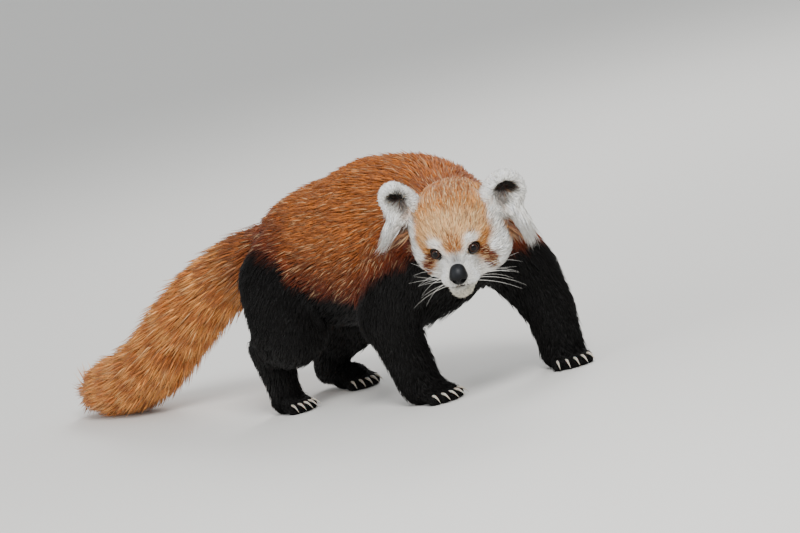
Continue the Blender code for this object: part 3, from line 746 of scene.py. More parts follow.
# Marks of the head, the same on both sides: colour, amount, centre, radii and softness of the edge
UPPER_MARKS = {
    "temple": (WHITE, 0.9, (8, 45, 17), (18, 9, 20), 0.45),
    "brow": (WHITE, 0.9, (44, 19, 15), (12, 9, 6.5), 0.5),
    "inner brow": (WHITE, 0.8, (48, 11, 5), (9, 4.5, 9), 0.5),
}
LOWER_MARKS = {
    # The chin's cream is partly its own pale colour and partly painted shade under the nose
    "chin": (CREAM_WITH_PAINTED_SHADE, 1.0, (46, 0, -45), (20, 16, 9), 0.5),
    "tear mark": (TEAR, 1.0, (36, 29.5, -8), (14, 5.5, 9.0), 0.3),
    "tear mark's lower end": (TEAR, 1.0, (30, 33, -21), (16, 6.5, 11), 0.35),
    "between the eyes": (BROW_RUST, 0.85, (50, 0, 15), (12, 7.5, 13), 0.5),
    "bridge": (GREY_BRIDGE, 0.6, (56, 0, -5), (13, 5.5, 9.0), 0.5),
}


def ripple(points, size, seed):
    """Smooth seeded noise between about -1 and 1, with lumps of the given size in millimetres."""
    draw = np.random.default_rng(seed)
    total = np.zeros(len(points))
    for _ in range(6):
        way = draw.normal(size=3)
        way *= 2.0 * math.pi / (size * np.linalg.norm(way) * draw.uniform(0.7, 1.5))
        total += np.sin(points @ way + draw.uniform(0.0, 6.28))
    return total / 2.6


def toward(colours, colour, amount):
    """Colours moved towards another one by an amount at each point."""
    amount = np.clip(amount, 0.0, 1.0)[:, None]
    return colours * (1.0 - amount) + colour * amount


def patch(own, centre, radii, edge=0.35):
    """One inside an oval patch, falling to nothing at its edge."""
    away = span((own - np.array(centre, float)) / np.array(radii, float))
    return 1.0 - soft(away, 1.0 - edge, 1.0 + edge)


def marked(colours, own, marks):
    """Colours with marks laid over them."""
    for colour, amount, centre, radii, edge in marks.values():
        colours = toward(colours, colour, amount * patch(own, centre, radii, edge))
    return colours


def body_colours(points):
    """Rust back and flanks, darker low down, and black belly."""
    x, z = points[:, 0], points[:, 2]
    wave = 3.5 * ripple(points, 30.0, 3) + 2.0 * ripple(points, 9.0, 4)
    line = np.interp(x, list(BLACK_EDGE), list(BLACK_EDGE.values()))
    line = line - 26.0 * soft(points[:, 1], 0.0, 40.0) * soft(x, 110.0, 150.0)
    above = z + wave - line
    colours = np.tile(RUST, (len(points), 1))
    colours = toward(colours, DEEP_RUST, 1.0 - soft(above, 0.0, 78.0))
    colours = toward(colours, DEEP_RUST, 0.75 * soft(x, 96.0, 150.0) * (1.0 - soft(above, 20.0, 80.0)))
    return toward(colours, BLACK, 1.0 - soft(above, -8.0, 10.0))


def tail_colours(points):
    """Golden rust tail with faint darker rings, brown at its root."""
    reach = -points[:, 0] + 0.35 * (190.0 - points[:, 2])
    turns = (reach + 4.0 * ripple(points, 25.0, 5)) / TAIL_RING_SPACING
    rings = 0.5 + 0.5 * np.sin(2.0 * math.pi * turns)
    colours = np.tile(TAIL_GOLD, (len(points), 1))
    colours = toward(colours, TAIL_DARK, 0.75 * soft(rings, 0.45, 0.85))
    return toward(colours, TAIL_ROOT, 1.0 - soft(-points[:, 0], 150.0, 250.0))


def head_colours(points):
    """Tan crown, rust between the eyes, white brows, muzzle and cheeks, dark tear marks."""
    own = in_head(points)
    x, y, z = own.T
    side = np.abs(y)
    folded = np.stack([x, side, z], axis=1)
    colours = np.tile(TAN, (len(points), 1))
    colours = toward(colours, RUST, 0.65 * soft(z, 40.0, 56.0))
    colours = toward(colours, BUFF, 0.45 * patch(own, (36, 0, 28), (26, 42, 16)))
    colours = toward(colours, WHITE, 0.9 * (1.0 - soft(z + 3.0 * ripple(points, 9.0, 12), -24.0, -14.0)))
    back = 1.0 - soft(x + 0.5 * ripple(points, 8.0, 11), -14.0, 4.0)
    colours = toward(colours, DEEP_RUST, back * (1.0 - soft(z, 4.0, 26.0)))
    colours = toward(colours, WHITE, patch(folded, (20, 44, -12), (22, 15, 19)) * (1.0 - back))
    colours = marked(colours, folded, UPPER_MARKS)
    muzzle = patch(folded, (52, 7, -20), (26, 21, 22), 0.22) * (1.0 - soft(z, 0.0, 7.0))
    colours = marked(toward(colours, WHITE, muzzle), folded, LOWER_MARKS)
    # Grey lines beside the bridge, from the inner corners of the eyes down: painted shade in the creases
    painted_crease_shade = np.exp(-(((side - 7.0 - 0.35 * (z + 8.0)) / 1.3) ** 2))
    painted_crease_shade = painted_crease_shade * soft(z, -14.0, -6.0) * (1.0 - soft(z, 2.0, 8.0)) * (x > 38.0)
    colours = toward(colours, GREY_BRIDGE * 0.7, 0.45 * painted_crease_shade)
    colours = toward(colours, LID_BLACK, 1.0 - soft(eye_gap(points), EYE_RADIUS + 0.4, EYE_RADIUS + 1.6))
    colours = toward(colours, LID_BLACK, 0.8 * patch(folded, (47.0, 12.5, -1.5), (6, 2.2, 3.2), 0.5))
    throat = 1.0 - soft(z, -56.0, -46.0) * soft(x, -10.0, 18.0)
    under = (1.0 - soft(z, -40.0, -30.0)) * (1.0 - soft(x, 14.0, 26.0))
    colours = toward(colours, BLACK, under * np.maximum(throat, 0.6))
    # Dark line from the nose down to the mouth: painted shadow under the nose, in the groove of the lip
    colours = toward(colours, LID_BLACK, 0.8 * patch(own, (66, 0, -29), (9, 1.4, 4.5), 0.4))
    colours = toward(colours, LIP_BROWN, 0.6 * (1.0 - soft(mouth_gap(own), 1.2, 3.2)))
    return toward(colours, LID_BLACK, 0.95 * (1.0 - soft(mouth_gap(own), 1.5, 2.6)))


def ear_colours(points):
    """White rims and tufts, dark in the cup, rust behind."""
    colours = np.tile(WHITE, (len(points), 1))
    for side in SIDES:
        own = in_frame(points, ear_frame(side))
        cup = patch(own, (2, 0.0 if side > 0 else 4.0, 8), (13, 15.5, 11), 0.25)
        cup = np.maximum(cup, 0.7 * patch(own, (2, 0.0, -5), (12, 9.5, 12), 0.5))
        behind = (1.0 - soft(own[:, 0], -10.0, -3.0)) * (1.0 - soft(own[:, 2], 14.0, 24.0))
        inside = toward(colours, EAR_PINK, 0.5 * patch(own, (4, -2 * side, -16), (9, 7, 6), 0.5))
        inside = toward(toward(inside, EAR_DARK, cup), EAR_BACK, behind)
        colours = np.where((span(own) < 42.0)[:, None], inside, colours)
    return colours


def coat_colours(points, weight):
    """Colour of the coat at each point, with the regions run into one another."""
    kinds = dict.fromkeys(REGIONS, body_colours(points))
    kinds["head"] = head_colours(points)
    kinds["ears"] = ear_colours(points)
    kinds["tail"] = tail_colours(points)
    kinds["paws"] = np.tile(BLACK, (len(points), 1))
    sharp = weight**2.5
    sharp /= sharp.sum(axis=1, keepdims=True)
    return sum(share_of(sharp, name)[:, None] * kinds[name] for name in REGIONS)


# Lie of the coat


def path_way(points, stations, reach=30.0):
    """Direction along a chain of stations, taken smoothly from its nearest lengths."""
    total = np.zeros((len(points), 3))
    for _, _, along, _, away in lengths_along(points, stations):
        total += np.exp(-away / reach)[:, None] * along / np.linalg.norm(along)
    return unit(total)


def paw_ways(points):
    """Forward and down over the toes of the nearest foot."""
    frames = [paw_frame(name) for name in PAWS]
    nearest = np.argmin([span(points - place) for _, place in frames], axis=0)
    return np.array([turn @ np.array((1.0, 0.0, -0.55)) for turn, _ in frames])[nearest]


def ear_ways(points):
    """Out from a little above the middle of each ear."""
    ways = np.zeros((len(points), 3))
    for side in SIDES:
        turn, centre = ear_frame(side)
        own = in_frame(points, (turn, centre))
        mine = span(own) < 45.0
        away = own - np.array((0.0, 0.0, 3.0))
        away[:, 0] *= 0.3
        ways[mine] = unit(away[mine]) @ turn.T
    return ways


def coat_ways(points, weight):
    """Which way the hair lies at each point, before it is laid on the skin."""
    count = len(points)
    low = soft(200.0 - points[:, 2], 0.0, 110.0)
    kinds = {name: path_way(points, stations) + (-0.22, 0.0, -0.1) for name, stations in LEGS.items()}
    kinds["trunk"] = np.stack([np.full(count, -1.0), np.zeros(count), -0.15 - 0.75 * low], axis=1)
    kinds["neck"] = path_way(points, NECK) + (0.0, 0.0, -0.35)
    kinds["head"] = unit(points - on_head((70.0, 0.0, -14.0))) - 0.25 * HEAD_TURN[:, 0]
    kinds["ears"] = ear_ways(points)
    kinds["tail"] = path_way(points, TAIL)
    kinds["paws"] = paw_ways(points)
    total = sum(share_of(weight, name)[:, None] * unit(kinds[name]) for name in REGIONS)
    hanging = ear_tuft_share(points)[:, None]
    total = total * (1.0 - hanging) + 6.0 * unit(tuft_tips(points) - points) * hanging
    wander = np.stack([ripple(points, 16.0, seed) for seed in (21, 22, 23)], axis=1)
    return unit(total) + 0.16 * wander * (1.0 - 0.8 * hanging)


def hair_sizes(points, weight):
    """Length and width of the tufts at each point: long on belly, cheeks and ear tufts, short at the nose."""
    own = in_head(points)
    head = share_of(weight, "head")
    nose = span(own - (62.0, 0.0, -20.0))
    short = 1.0 - 0.68 * head * (1.0 - soft(nose, 10.0, 58.0))
    ruff = head * soft(np.abs(own[:, 1]), 30.0, 46.0) * (1.0 - soft(own[:, 2], 8.0, 26.0))
    belly = share_of(weight, "trunk") * soft(150.0 - points[:, 2], 0.0, 50.0)
    longer = 1.0 + 0.3 * ruff + 0.6 * belly + 0.5 * hanging_share(points, weight)
    length = coat_mean(weight, 0) * short * longer + 4.0 * chin_share(own)
    length = length * (0.32 + 0.68 * soft(eye_gap(points), EYE_RADIUS + 1.0, EYE_RADIUS + 10.0))
    hanging = ear_tuft_share(points)
    reach = span(tuft_tips(points) - points)
    length = length + (np.minimum(0.95 * reach, EAR_TUFT_LENGTH) - length) * hanging**2
    width = coat_mean(weight, 1) * (1.0 - 0.3 * head * (1.0 - soft(nose, 20.0, 60.0)))
    return length, width * (0.6 + 0.4 * short) * (1.0 + 0.4 * hanging)


def chin_share(own):
    """One on the chin and along the lower jaw, where the hair stands out a little."""
    return patch(own, (38, 0, -50), (26, 24, 12), 0.4) * (own[:, 2] < MOUTH_UP - 3.0)


def hanging_share(points, weight):
    """One under the breast and belly, where the coat hangs free."""
    under = share_of(weight, "trunk") * (1.0 - soft(points[:, 2], 96.0, 124.0))
    return under * (0.35 + 0.65 * soft(points[:, 0], 40.0, 90.0))


def tuft_tips(points):
    """Where the tuft of the nearer ear ends."""
    left = in_head(points)[:, 1:2] > 0.0
    return np.where(left, on_head(EAR_TUFT_TIPS[1]), on_head(EAR_TUFT_TIPS[-1]))


def ear_tuft_share(points):
    """One where the long white tuft hangs from the lower outer edge of each ear."""
    found = np.zeros(len(points))
    for side in SIDES:
        own = in_frame(points, ear_frame(side))
        out, up = side * own[:, 1], own[:, 2]
        edge = soft(out - 0.5 * up, 13.0, 21.0) * (1.0 - soft(up, -7.0, 4.0))
        found = np.maximum(found, edge * (span(own) < 34.0) * (out > 2.0))
    return found


# Tufts


def scatter(corners, density, draw):
    """Random places on triangles: the triangle of each and the weights of its corners."""
    sides = np.cross(corners[:, 1] - corners[:, 0], corners[:, 2] - corners[:, 0])
    wanted = 0.5 * span(sides) * density
    count = np.floor(wanted + draw.random(len(wanted))).astype(int)
    chosen = np.repeat(np.arange(len(corners)), count)
    first, second = draw.random((2, len(chosen)))
    over = first + second > 1.0
    first[over], second[over] = 1.0 - first[over], 1.0 - second[over]
    return chosen, np.stack([1.0 - first - second, first, second], axis=1)


def at_corners(values, chosen, weights):
    """Values at the corners of triangles, taken to places on them."""
    return np.einsum("nij,ni->nj", values[chosen], weights)


def clumped(points, tips, size, amount, draw):
    """Moves tips of neighbouring tufts towards one another, as hairs gather in locks."""
    cells = np.floor((points + draw.uniform(-0.4, 0.4, points.shape) * size) / size).astype(np.int64)
    keys = cells[:, 0] * 1000003 + cells[:, 1] * 1009 + cells[:, 2]
    group = np.unique(keys, return_inverse=True)[1]
    count = np.bincount(group)
    middle = np.stack([np.bincount(group, tips[:, axis]) / count for axis in range(3)], axis=1)
    return tips + amount * (middle[group] - tips)


def tufts(roots, normals, ways, lengths, widths, heights, free, draw):
    """Points and triangles of thin three-sided tufts that leave the skin and, unless free, lie along it."""
    outward = (ways * normals).sum(axis=1)
    free = free * (outward > -0.2)
    ways = unit(ways - normals * (outward * (1.0 - free))[:, None])
    across = np.cross(normals, ways)
    middle = roots + ways * (TUFT_BEND * lengths)[:, None]
    tip = roots + ways * lengths[:, None]
    lift_middle = (0.62 * heights - skin_form(middle)) * (1.0 - free)
    lift_tip = np.clip(heights - skin_form(tip), -0.3 * lengths, heights + 0.5 * lengths) * (1.0 - free)
    middle = middle + normals * lift_middle[:, None]
    tip = clumped(roots, tip + normals * lift_tip[:, None], LOCK_SIZE, LOCK_SHARE, draw)
    low, high = np.array(CAD_BOX) / MM - SHIFT
    tip = np.clip(tip, low - TIP_MARGIN, high + TIP_MARGIN)
    tip[:, 2] = np.maximum(tip[:, 2], TUFTS_ABOVE_FLOOR)
    middle[:, 2] = np.maximum(middle[:, 2], TUFTS_ABOVE_FLOOR)
    rings = []
    for centre, size in ((roots - normals * 0.8, 0.9), (middle, 1.0)):
        for side, up in ((-0.5, 0.0), (0.5, 0.0), (0.0, 0.42)):
            wide = widths * size
            rings.append(centre + across * (wide * side)[:, None] + normals * (wide * up)[:, None])
    points = np.stack(rings + [tip], axis=1)
    pattern = []
    for k, after in ((0, 1), (1, 2), (2, 0)):
        pattern += [(k, after, after + 3), (k, after + 3, k + 3), (k + 3, after + 3, 6)]
    pattern.append((0, 2, 1))
    start = 7 * np.arange(len(roots))[:, None, None]
    return points.reshape(-1, 3), (np.array(pattern)[None] + start).reshape(-1, 3)


def coat_pieces(own, points, region):
    """The triangles that each piece of the coat takes from the skin, and a slot name for each."""
    front = own[:, 0] > FACE_AHEAD_OF
    high = own[:, 2] > CROWN_ABOVE
    right = points[:, 1] < 0.0
    tail_root = points[:, 0] > TAIL_ROOT_AHEAD_OF
    pieces = {
        "coat_face": ((region == "head") & front, "face_fur"),
        "coat_crown": ((region == "head") & ~front & high, "face_fur"),
        "coat_cheeks": ((region == "head") & ~front & ~high, "face_fur"),
        "coat_ears": (region == "ears", "white_fur"),
        "coat_neck": (region == "neck", "rust_fur"),
        "coat_flank_right": ((region == "trunk") & right, "rust_fur"),
        "coat_flank_left": ((region == "trunk") & ~right, "rust_fur"),
        "coat_tail_root": ((region == "tail") & tail_root, "tail_fur"),
        "coat_tail_end": ((region == "tail") & ~tail_root, "tail_fur"),
    }
    for name in LEGS:
        pieces["coat_leg_" + name] = (region == name, "black_fur")
    pieces["coat_paws"] = (region == "paws", "black_fur")
    return pieces


def region_map(name, points, triangles):
    """Unwraps one region of the skin and returns the map places of its triangles' corners."""
    used, renumbered = np.unique(triangles, return_inverse=True)
    mesh = bpy.data.meshes.new(name)
    mesh.from_pydata((points[used] * MM).tolist(), [], renumbered.reshape(-1, 3).tolist())
    region = linked(name, mesh)
    mesh.uv_layers.new(name="OFBake")
    bpy.ops.object.select_all(action="DESELECT")
    region.select_set(True)
    bpy.context.view_layer.objects.active = region
    bpy.ops.object.mode_set(mode="EDIT")
    bpy.ops.mesh.select_all(action="SELECT")
    bpy.ops.uv.smart_project(angle_limit=math.radians(66.0), island_margin=0.004)
    bpy.ops.object.mode_set(mode="OBJECT")
    places = read(mesh.uv_layers["OFBake"].data, "uv", 2)
    bpy.data.objects.remove(region)
    bpy.data.meshes.remove(mesh)
    return places.reshape(-1, 3, 2)


def bare(points):
    """Places without hair: the eyes and their rims, the nose pad, the line of the mouth and the soles."""
    hidden = eye_gap(points) < EYE_RADIUS + LID_THICKNESS
    hidden |= nose_form(points) < 0.3
    hidden |= mouth_gap(in_head(points)) < 1.8
    return hidden | (points[:, 2] < BARE_BELOW)


def build_coat(skin, material):
    """Grows the tufts of every region from the skin, in pieces."""
    points = own_points(skin)
    normals = read(skin.data.vertices, "normal", 3).astype(float)
    triangles = read(skin.data.loops, "vertex_index", 1, np.int32).reshape(-1, 3)
    weight = shares(forms(points))
    # The skin takes the coat's colours darkened to 0.6, as painted shade under the hair
    give_colours(skin, coat_colours(points, weight) * 0.6)
    middles = points[triangles].mean(axis=1)
    weight = weight[triangles].mean(axis=1)
    region = np.array(REGIONS)[weight.argmax(axis=1)]
    own = in_head(middles)
    density = coat_mean(weight, 3) * (1.0 + 0.5 * (region == "head") * soft(own[:, 0], 10.0, 40.0))
    for number, (name, (mine, slot)) in enumerate(coat_pieces(own, middles, region).items()):
        piece = grow(name, points, normals, triangles[mine], density[mine], SEED + number, material)
        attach(piece, "root")


def grow(name, points, normals, triangles, density, seed, material):
    """The tufts of one region as one piece."""
    draw = np.random.default_rng(seed)
    chosen, corner_weights = scatter(points[triangles], density, draw)
    roots = at_corners(points[triangles], chosen, corner_weights)
    haired = ~bare(roots)
    chosen, corner_weights, roots = chosen[haired], corner_weights[haired], roots[haired]
    count = len(roots)
    upward = unit(at_corners(normals[triangles], chosen, corner_weights))
    found = forms(roots)
    weight = shares(found)
    lengths, widths = hair_sizes(roots, weight)
    lengths = lengths * draw.uniform(0.75, 1.2, count) * (1.0 + 0.12 * ripple(roots, 18.0, 31))
    widths = widths * draw.uniform(0.75, 1.15, count)
    heights = coat_depth(roots, found) * draw.uniform(0.5, 1.12, count)
    heights = np.where(draw.random(count) < GUARD_SHARE, heights * 1.25 + 1.2, heights)
    stray = draw.uniform(0.2, 1.0, count)
    hanging = ear_tuft_share(roots)
    legs = sum(share_of(weight, leg) for leg in LEGS)
    heights = heights + (2.0 * hanging + 2.6 * chin_share(in_head(roots))) * stray + 3.0 * legs * stray**6
    heights = heights + FREE_LIFT * hanging_share(roots, weight) * draw.uniform(0.2, 1.0, count)
    ways = coat_ways(roots, weight) + 0.10 * draw.normal(size=roots.shape)
    corners, faces = tufts(roots, upward, ways, lengths, widths, heights, hanging**2, draw)
    tint = coat_colours(roots + unit(ways) * (SEEN_SHARE * lengths)[:, None], weight)
    tint = ticked(tint, roots, weight, draw)
    # Tufts are darkened towards the root as painted shade deep in the coat, less so on pale hair
    pale = soft(tint.min(axis=1), 0.25, 0.7)[:, None]
    shades = 1.0 + (PAINTED_SHADE_ROOT_TO_TIP[None, :] - 1.0) * (1.0 - 0.6 * pale)
    piece = triangle_piece(name, corners, faces, material)
    give_colours(piece, np.clip(tint[:, None, :] * shades[:, :, None], 0.0, 1.0).reshape(-1, 3))
    centre = at_corners(region_map(name + "_map", points, triangles), chosen, corner_weights)
    spread = np.array([(-1, -1), (1, -1), (0, -0.6), (-1, 0.4), (1, 0.4), (0, 0.6), (0, 1)]) * 0.0015
    patches = (centre[:, None, :] + spread[None]).reshape(-1, 2)
    give_map(piece, patches[faces.ravel()])
    return piece


def ticked(tint, roots, weight, draw):
    """Varies the tufts' colour one by one, with pale and dark hairs among the others."""
    lightness = draw.normal(1.0, 0.13, len(roots)) + 0.10 * ripple(roots, 12.0, 41)
    tint = tint * np.clip(lightness, 0.6, 1.5)[:, None]
    rust = soft(tint.mean(axis=1), 0.02, 0.05) * (1.0 - soft(tint[:, 2], 0.25, 0.5))
    head = share_of(weight, "head")
    pale = (draw.random(len(roots)) < 0.14 + 0.2 * head) * rust
    dark = (draw.random(len(roots)) < 0.12 + 0.1 * head) * rust
    tint = toward(tint, BUFF * 1.1, (0.3 + 0.4 * head) * pale)
    return toward(tint, DEEP_RUST * 0.8, (0.5 + 0.15 * head) * dark)


# Eyes, nose, claws and whiskers


def circle(count):
    """Even angles round a full turn."""
    return np.linspace(0.0, 2.0 * math.pi, count, endpoint=False)


def tube_piece(name, tubes, material, closed=True):
    """One piece of tubes, each given as rings of points from end to end."""
    points, faces, start = [], [], 0
    for rings in tubes:
        around = len(rings[0])
        points += list(rings)
        for row in range(len(rings) - 1):
            for k in range(around):
                low = start + row * around + k
                after = start + row * around + (k + 1) % around
                faces.append((low, after, after + around, low + around))
        if closed:
            last = start + (len(rings) - 1) * around
            faces.append(tuple(start + k for k in range(around))[::-1])
            faces.append(tuple(last + k for k in range(around)))
        start += len(rings) * around
    return mesh_piece(name, np.concatenate(points), faces, material)


def build_eye(side, name, material):
    """One eyeball with a raised cornea; each point's angle from the line of sight is kept for the iris."""
    turn, centre = eye_frame(side)
    angles = np.linspace(0.02, math.pi - 0.02, EYE_RINGS)
    around = circle(EYE_SIDES)
    rings = []
    for angle in angles:
        bulge = CORNEA_BULGE * max(0.0, 1.0 - (angle / 0.75) ** 2)
        ahead, out = math.cos(angle), math.sin(angle)
        own = np.stack([np.full(EYE_SIDES, ahead), out * np.cos(around), out * np.sin(around)], axis=1)
        rings.append(centre + (own * (EYE_RADIUS - 0.25 + bulge)) @ turn.T)
    piece = tube_piece(name, [rings], material)
    layer = piece.data.attributes.new("sight_angle", "FLOAT", "POINT")
    layer.data.foreach_set("value", np.repeat(angles, EYE_SIDES).astype(np.float32))
    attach(piece, "root")
    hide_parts(name.replace("eyeball", "eye"))


def skin_ahead(side, beside, above):
    """How far along the line of sight the skin lies at a place beside and above the middle of an eye."""
    turn, centre = eye_frame(side)
    depths = np.linspace(-14.0, 14.0, 113)
    own = np.stack(np.broadcast_arrays(depths, beside, above), axis=1)
    inside = np.flatnonzero(skin_form(centre + own @ turn.T) < 0.0)
    return depths[inside[-1]] if len(inside) else -6.0


def lid_ring(side, out, lift, on_skin):
    """One ring of points round an eye's opening, which narrows to its inner corner."""
    turn, centre = eye_frame(side)
    ring = []
    for angle in circle(LID_SIDES):
        beside, above = math.cos(angle), math.sin(angle)
        inner = max(0.0, -side * beside)
        tall = EYE_HALF_HEIGHT * (1.0 if above > 0.0 else 0.92)
        y = (EYE_HALF_WIDTH + out + 0.5 * inner**6) * beside
        z = (tall + out) * above - 0.7 * inner**3
        ahead = math.sqrt(max((EYE_RADIUS + lift) ** 2 - y * y - z * z, 4.0))
        if on_skin:
            ahead = ahead * (1.0 - on_skin) + (skin_ahead(side, y, z) + lift) * on_skin
        ring.append(centre + turn @ np.array((ahead, y, z)))
    return np.array(ring)


def build_lids(material):
    """Upper and lower lid of each eye: a dark wet rim that runs out under the fur."""
    for side, name in ((1, "lids_left"), (-1, "lids_right")):
        rings = [lid_ring(side, *sizes) for sizes in LID_RINGS]
        piece = tube_piece(name, [rings[::-1]], material, closed=False)
        smoothed = piece.modifiers.new("smoothed", "SUBSURF")
        smoothed.levels = 2
        smoothed.render_levels = 2
        bake_modifiers(piece)
        points = own_points(piece)
        own = in_frame(points, eye_frame(side))
        beyond = np.hypot(own[:, 1] / EYE_HALF_WIDTH, own[:, 2] / EYE_HALF_HEIGHT)
        black = np.tile(LID_BLACK, (len(points), 1))
        # Where the lid runs out under the fur it takes the head's colours darkened to 0.7, as painted shade
        # under the hair
        give_colours(piece, toward(black, head_colours(points) * 0.7, soft(beyond, 1.18, 1.4)))
        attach(piece, "root")


def bake_modifiers(piece):
    """Turns a piece's modifiers into its mesh."""
    bpy.context.view_layer.update()
    mesh = bpy.data.meshes.new_from_object(piece.evaluated_get(bpy.context.evaluated_depsgraph_get()))
    piece.modifiers.clear()
    piece.data = mesh
    mesh.shade_smooth()


def nose_form(points):
    """Nose pad, flat-topped and narrowed below, with two nostrils and a groove down its middle."""
    own = in_head(points) - np.array(NOSE_CENTRE)
    narrowed = own.copy()
    narrowed[:, 1] *= 1.0 + 0.22 * soft(-own[:, 2], 0.0, 9.0)
    pad = ball(narrowed, (0, 0, 0), np.array(NOSE_RADII) - 0.2)
    pad = blend(pad, ball(own, (-4.5, 0, 6.0), (8.5, 8.2, 6.5)), 4.0)
    for side in SIDES:
        hole = ball(own, (8.4, side * 4.4, -1.6), (5.0, 2.7, 2.4))
        slit = ball(own, (5.6, side * 7.6, -3.2), (4.6, 3.4, 1.2))
        pad = -blend(-pad, blend(hole, slit, 1.5), 1.2)
    groove = np.exp(-((own[:, 1] / 0.7) ** 2)) * soft(-own[:, 2], 1.0, 4.0)
    return pad + 0.7 * groove


def build_nose(material):
    """The nose pad as its own smooth piece."""
    centre = on_head(NOSE_CENTRE)
    points, quads = net_surface(nose_form, centre - 18.5, centre + 18.5, NOSE_STEP)
    piece = mesh_piece("nose_leather", points, quads, material)
    own = in_head(points) - np.array(NOSE_CENTRE)
    # Bluish grey painted highlight over the top of the nose pad
    top = soft(own[:, 2], 0.0, 9.0) * (1.0 - soft(np.abs(own[:, 1]), 4.0, 8.0))
    give_colours(piece, toward(np.tile(NOSE_BLACK, (len(points), 1)), NOSE_PAINTED_HIGHLIGHT, top))
    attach(piece, "root")
    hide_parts("nose")


def tube_rings(path, radii, sides):
    """Rings of points round a bent path."""
    ways = unit(np.gradient(path, axis=0))
    across = unit(np.cross(ways, (0.13, 0.21, 0.97)))
    upward = np.cross(across, ways)
    angles = circle(sides)[:, None]
    return [
        centre + radius * (np.cos(angles) * beside + np.sin(angles) * above)
        for centre, beside, above, radius in zip(path, across, upward, radii)
    ]


def build_claws(material):
    """Five bent claws on each foot, thick at the root and sharp at the tip."""
    for name, paw in PAWS.items():
        turn, place = paw_frame(name)
        tubes = []
        for toe in toe_lines(paw["half_width"], paw["half_length"]):
            root, tip = np.array(toe[0][:3]), np.array(toe[1][:3])
            ahead = (tip - root) * (1.0, 1.0, 0.0)
            ahead /= np.linalg.norm(ahead)
            share = np.linspace(-0.25, 1.0, CLAW_RINGS)
            seen = np.clip(share, 0.0, 1.0)
            path = tip + ahead * (TOE_RADIUS - 3.0 + share * CLAW_LENGTH * 0.8)[:, None]
            path[:, 2] += 5.0 - 7.2 * seen**1.9
            radii = 0.82 * CLAW_RADIUS * np.clip(1.0 - seen**1.6, 0.07, 1.0)
            path[:, 2] = np.maximum(path[:, 2], radii + 0.1)
            tubes.append(tube_rings(path @ turn.T + place, radii, CLAW_SIDES))
        piece = tube_piece("claws_" + name, tubes, material)
        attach(piece, "root")
        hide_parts(*[f"{name}_claw_{number}" for number in range(1, TOES + 1)])


def build_whiskers(material):
    """Long stiff white hairs from both sides of the muzzle, swept back and drooping at their tips."""
    draw = np.random.default_rng(5)
    tubes = []
    for side in SIDES:
        for number in range(WHISKERS_EACH_SIDE):
            column, row = divmod(number, WHISKER_ROWS)
            up = -22.0 - 4.0 * row + draw.uniform(-0.8, 0.8)
            ahead = 55.0 - 3.4 * column + draw.uniform(-0.8, 0.8)
            start = np.array((ahead, side * (11.0 + 1.2 * column), up))
            length = draw.uniform(38.0, 62.0)
            way = np.array((draw.uniform(-0.75, -0.35), side, draw.uniform(-0.30, 0.25) - 0.16 * row))
            share = np.linspace(0.0, 1.0, WHISKER_RINGS)
            path = start + way / np.linalg.norm(way) * (length * share)[:, None]
            path[:, 0] -= 0.16 * length * share**2
            path[:, 2] -= draw.uniform(0.05, 0.6) * length * share**2.2
            path = path @ HEAD_TURN.T + np.array(HEAD_CENTRE)
            tubes.append(tube_rings(path, WHISKER_RADIUS * (1.0 - 0.8 * share), WHISKER_SIDES))
    piece = tube_piece("whiskers", tubes, material)
    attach(piece, "root")


# Materials


def add(tree, kind, settings=None, **links):
    """Adds a node with its settings and the links into its inputs."""
    node = tree.nodes.new(kind)
    for key, value in (settings or {}).items():
        if isinstance(key, int) or key in node.inputs:
            node.inputs[key].default_value = value
        else:
            setattr(node, key, value)
    for key, socket in links.items():
        tree.links.new(socket, node.inputs[key.replace("_", " ")])
    return node


def new_material(name, **constants):
    """A material with its node tree and its shader, whose constants are set on the shader's own sockets."""
    material = bpy.data.materials.new(name)
    material.use_nodes = True
    shader = material.node_tree.nodes["Principled BSDF"]
    for key, value in constants.items():
        shader.inputs[key.replace("_", " ")].default_value = value
    return material, material.node_tree, shader


def add_noise(tree, scale, detail):
    """Noise fixed to the mesh, with lumps of one metre divided by the scale."""
    place = add(tree, "ShaderNodeTexCoord")
    return add(tree, "ShaderNodeTexNoise", {"Scale": scale, "Detail": detail}, Vector=place.outputs["Object"])


def colour_by_markings(tree, shader, noise, low, high):
    """Gives the shader the colours kept on the mesh, made darker and lighter by noise."""
    colour = add(tree, "ShaderNodeAttribute", {"attribute_name": "coat_colour"})
    light = add(tree, "ShaderNodeMapRange", {"To Min": low, "To Max": high}, Value=noise.outputs["Fac"])
    mixed = add(tree, "ShaderNodeVectorMath", {"operation": "SCALE"}, Scale=light.outputs["Result"])
    tree.links.new(colour.outputs["Color"], mixed.inputs[0])
    tree.links.new(mixed.outputs["Vector"], shader.inputs["Base Color"])


def colour_by_ramp(tree, shader, value, stops):
    """Gives the shader the colours of a ramp over a value, whose first stop is at nothing."""
    ramp = add(tree, "ShaderNodeValToRGB", Fac=value)
    steps = ramp.color_ramp.elements
    steps.remove(steps[1])
    steps[0].color = (*linear(stops[0][1]), 1.0)
    for position, code in stops[1:]:
        steps.new(position).color = (*linear(code), 1.0)
    tree.links.new(ramp.outputs["Color"], shader.inputs["Base Color"])


def raise_pattern(tree, shader, strength, depth, height):
    """Raises a pattern in the shader's bump, up to a depth in metres."""
    bump = add(tree, "ShaderNodeBump", {"Strength": strength, "Distance": depth}, Height=height)
    tree.links.new(bump.outputs["Normal"], shader.inputs["Normal"])


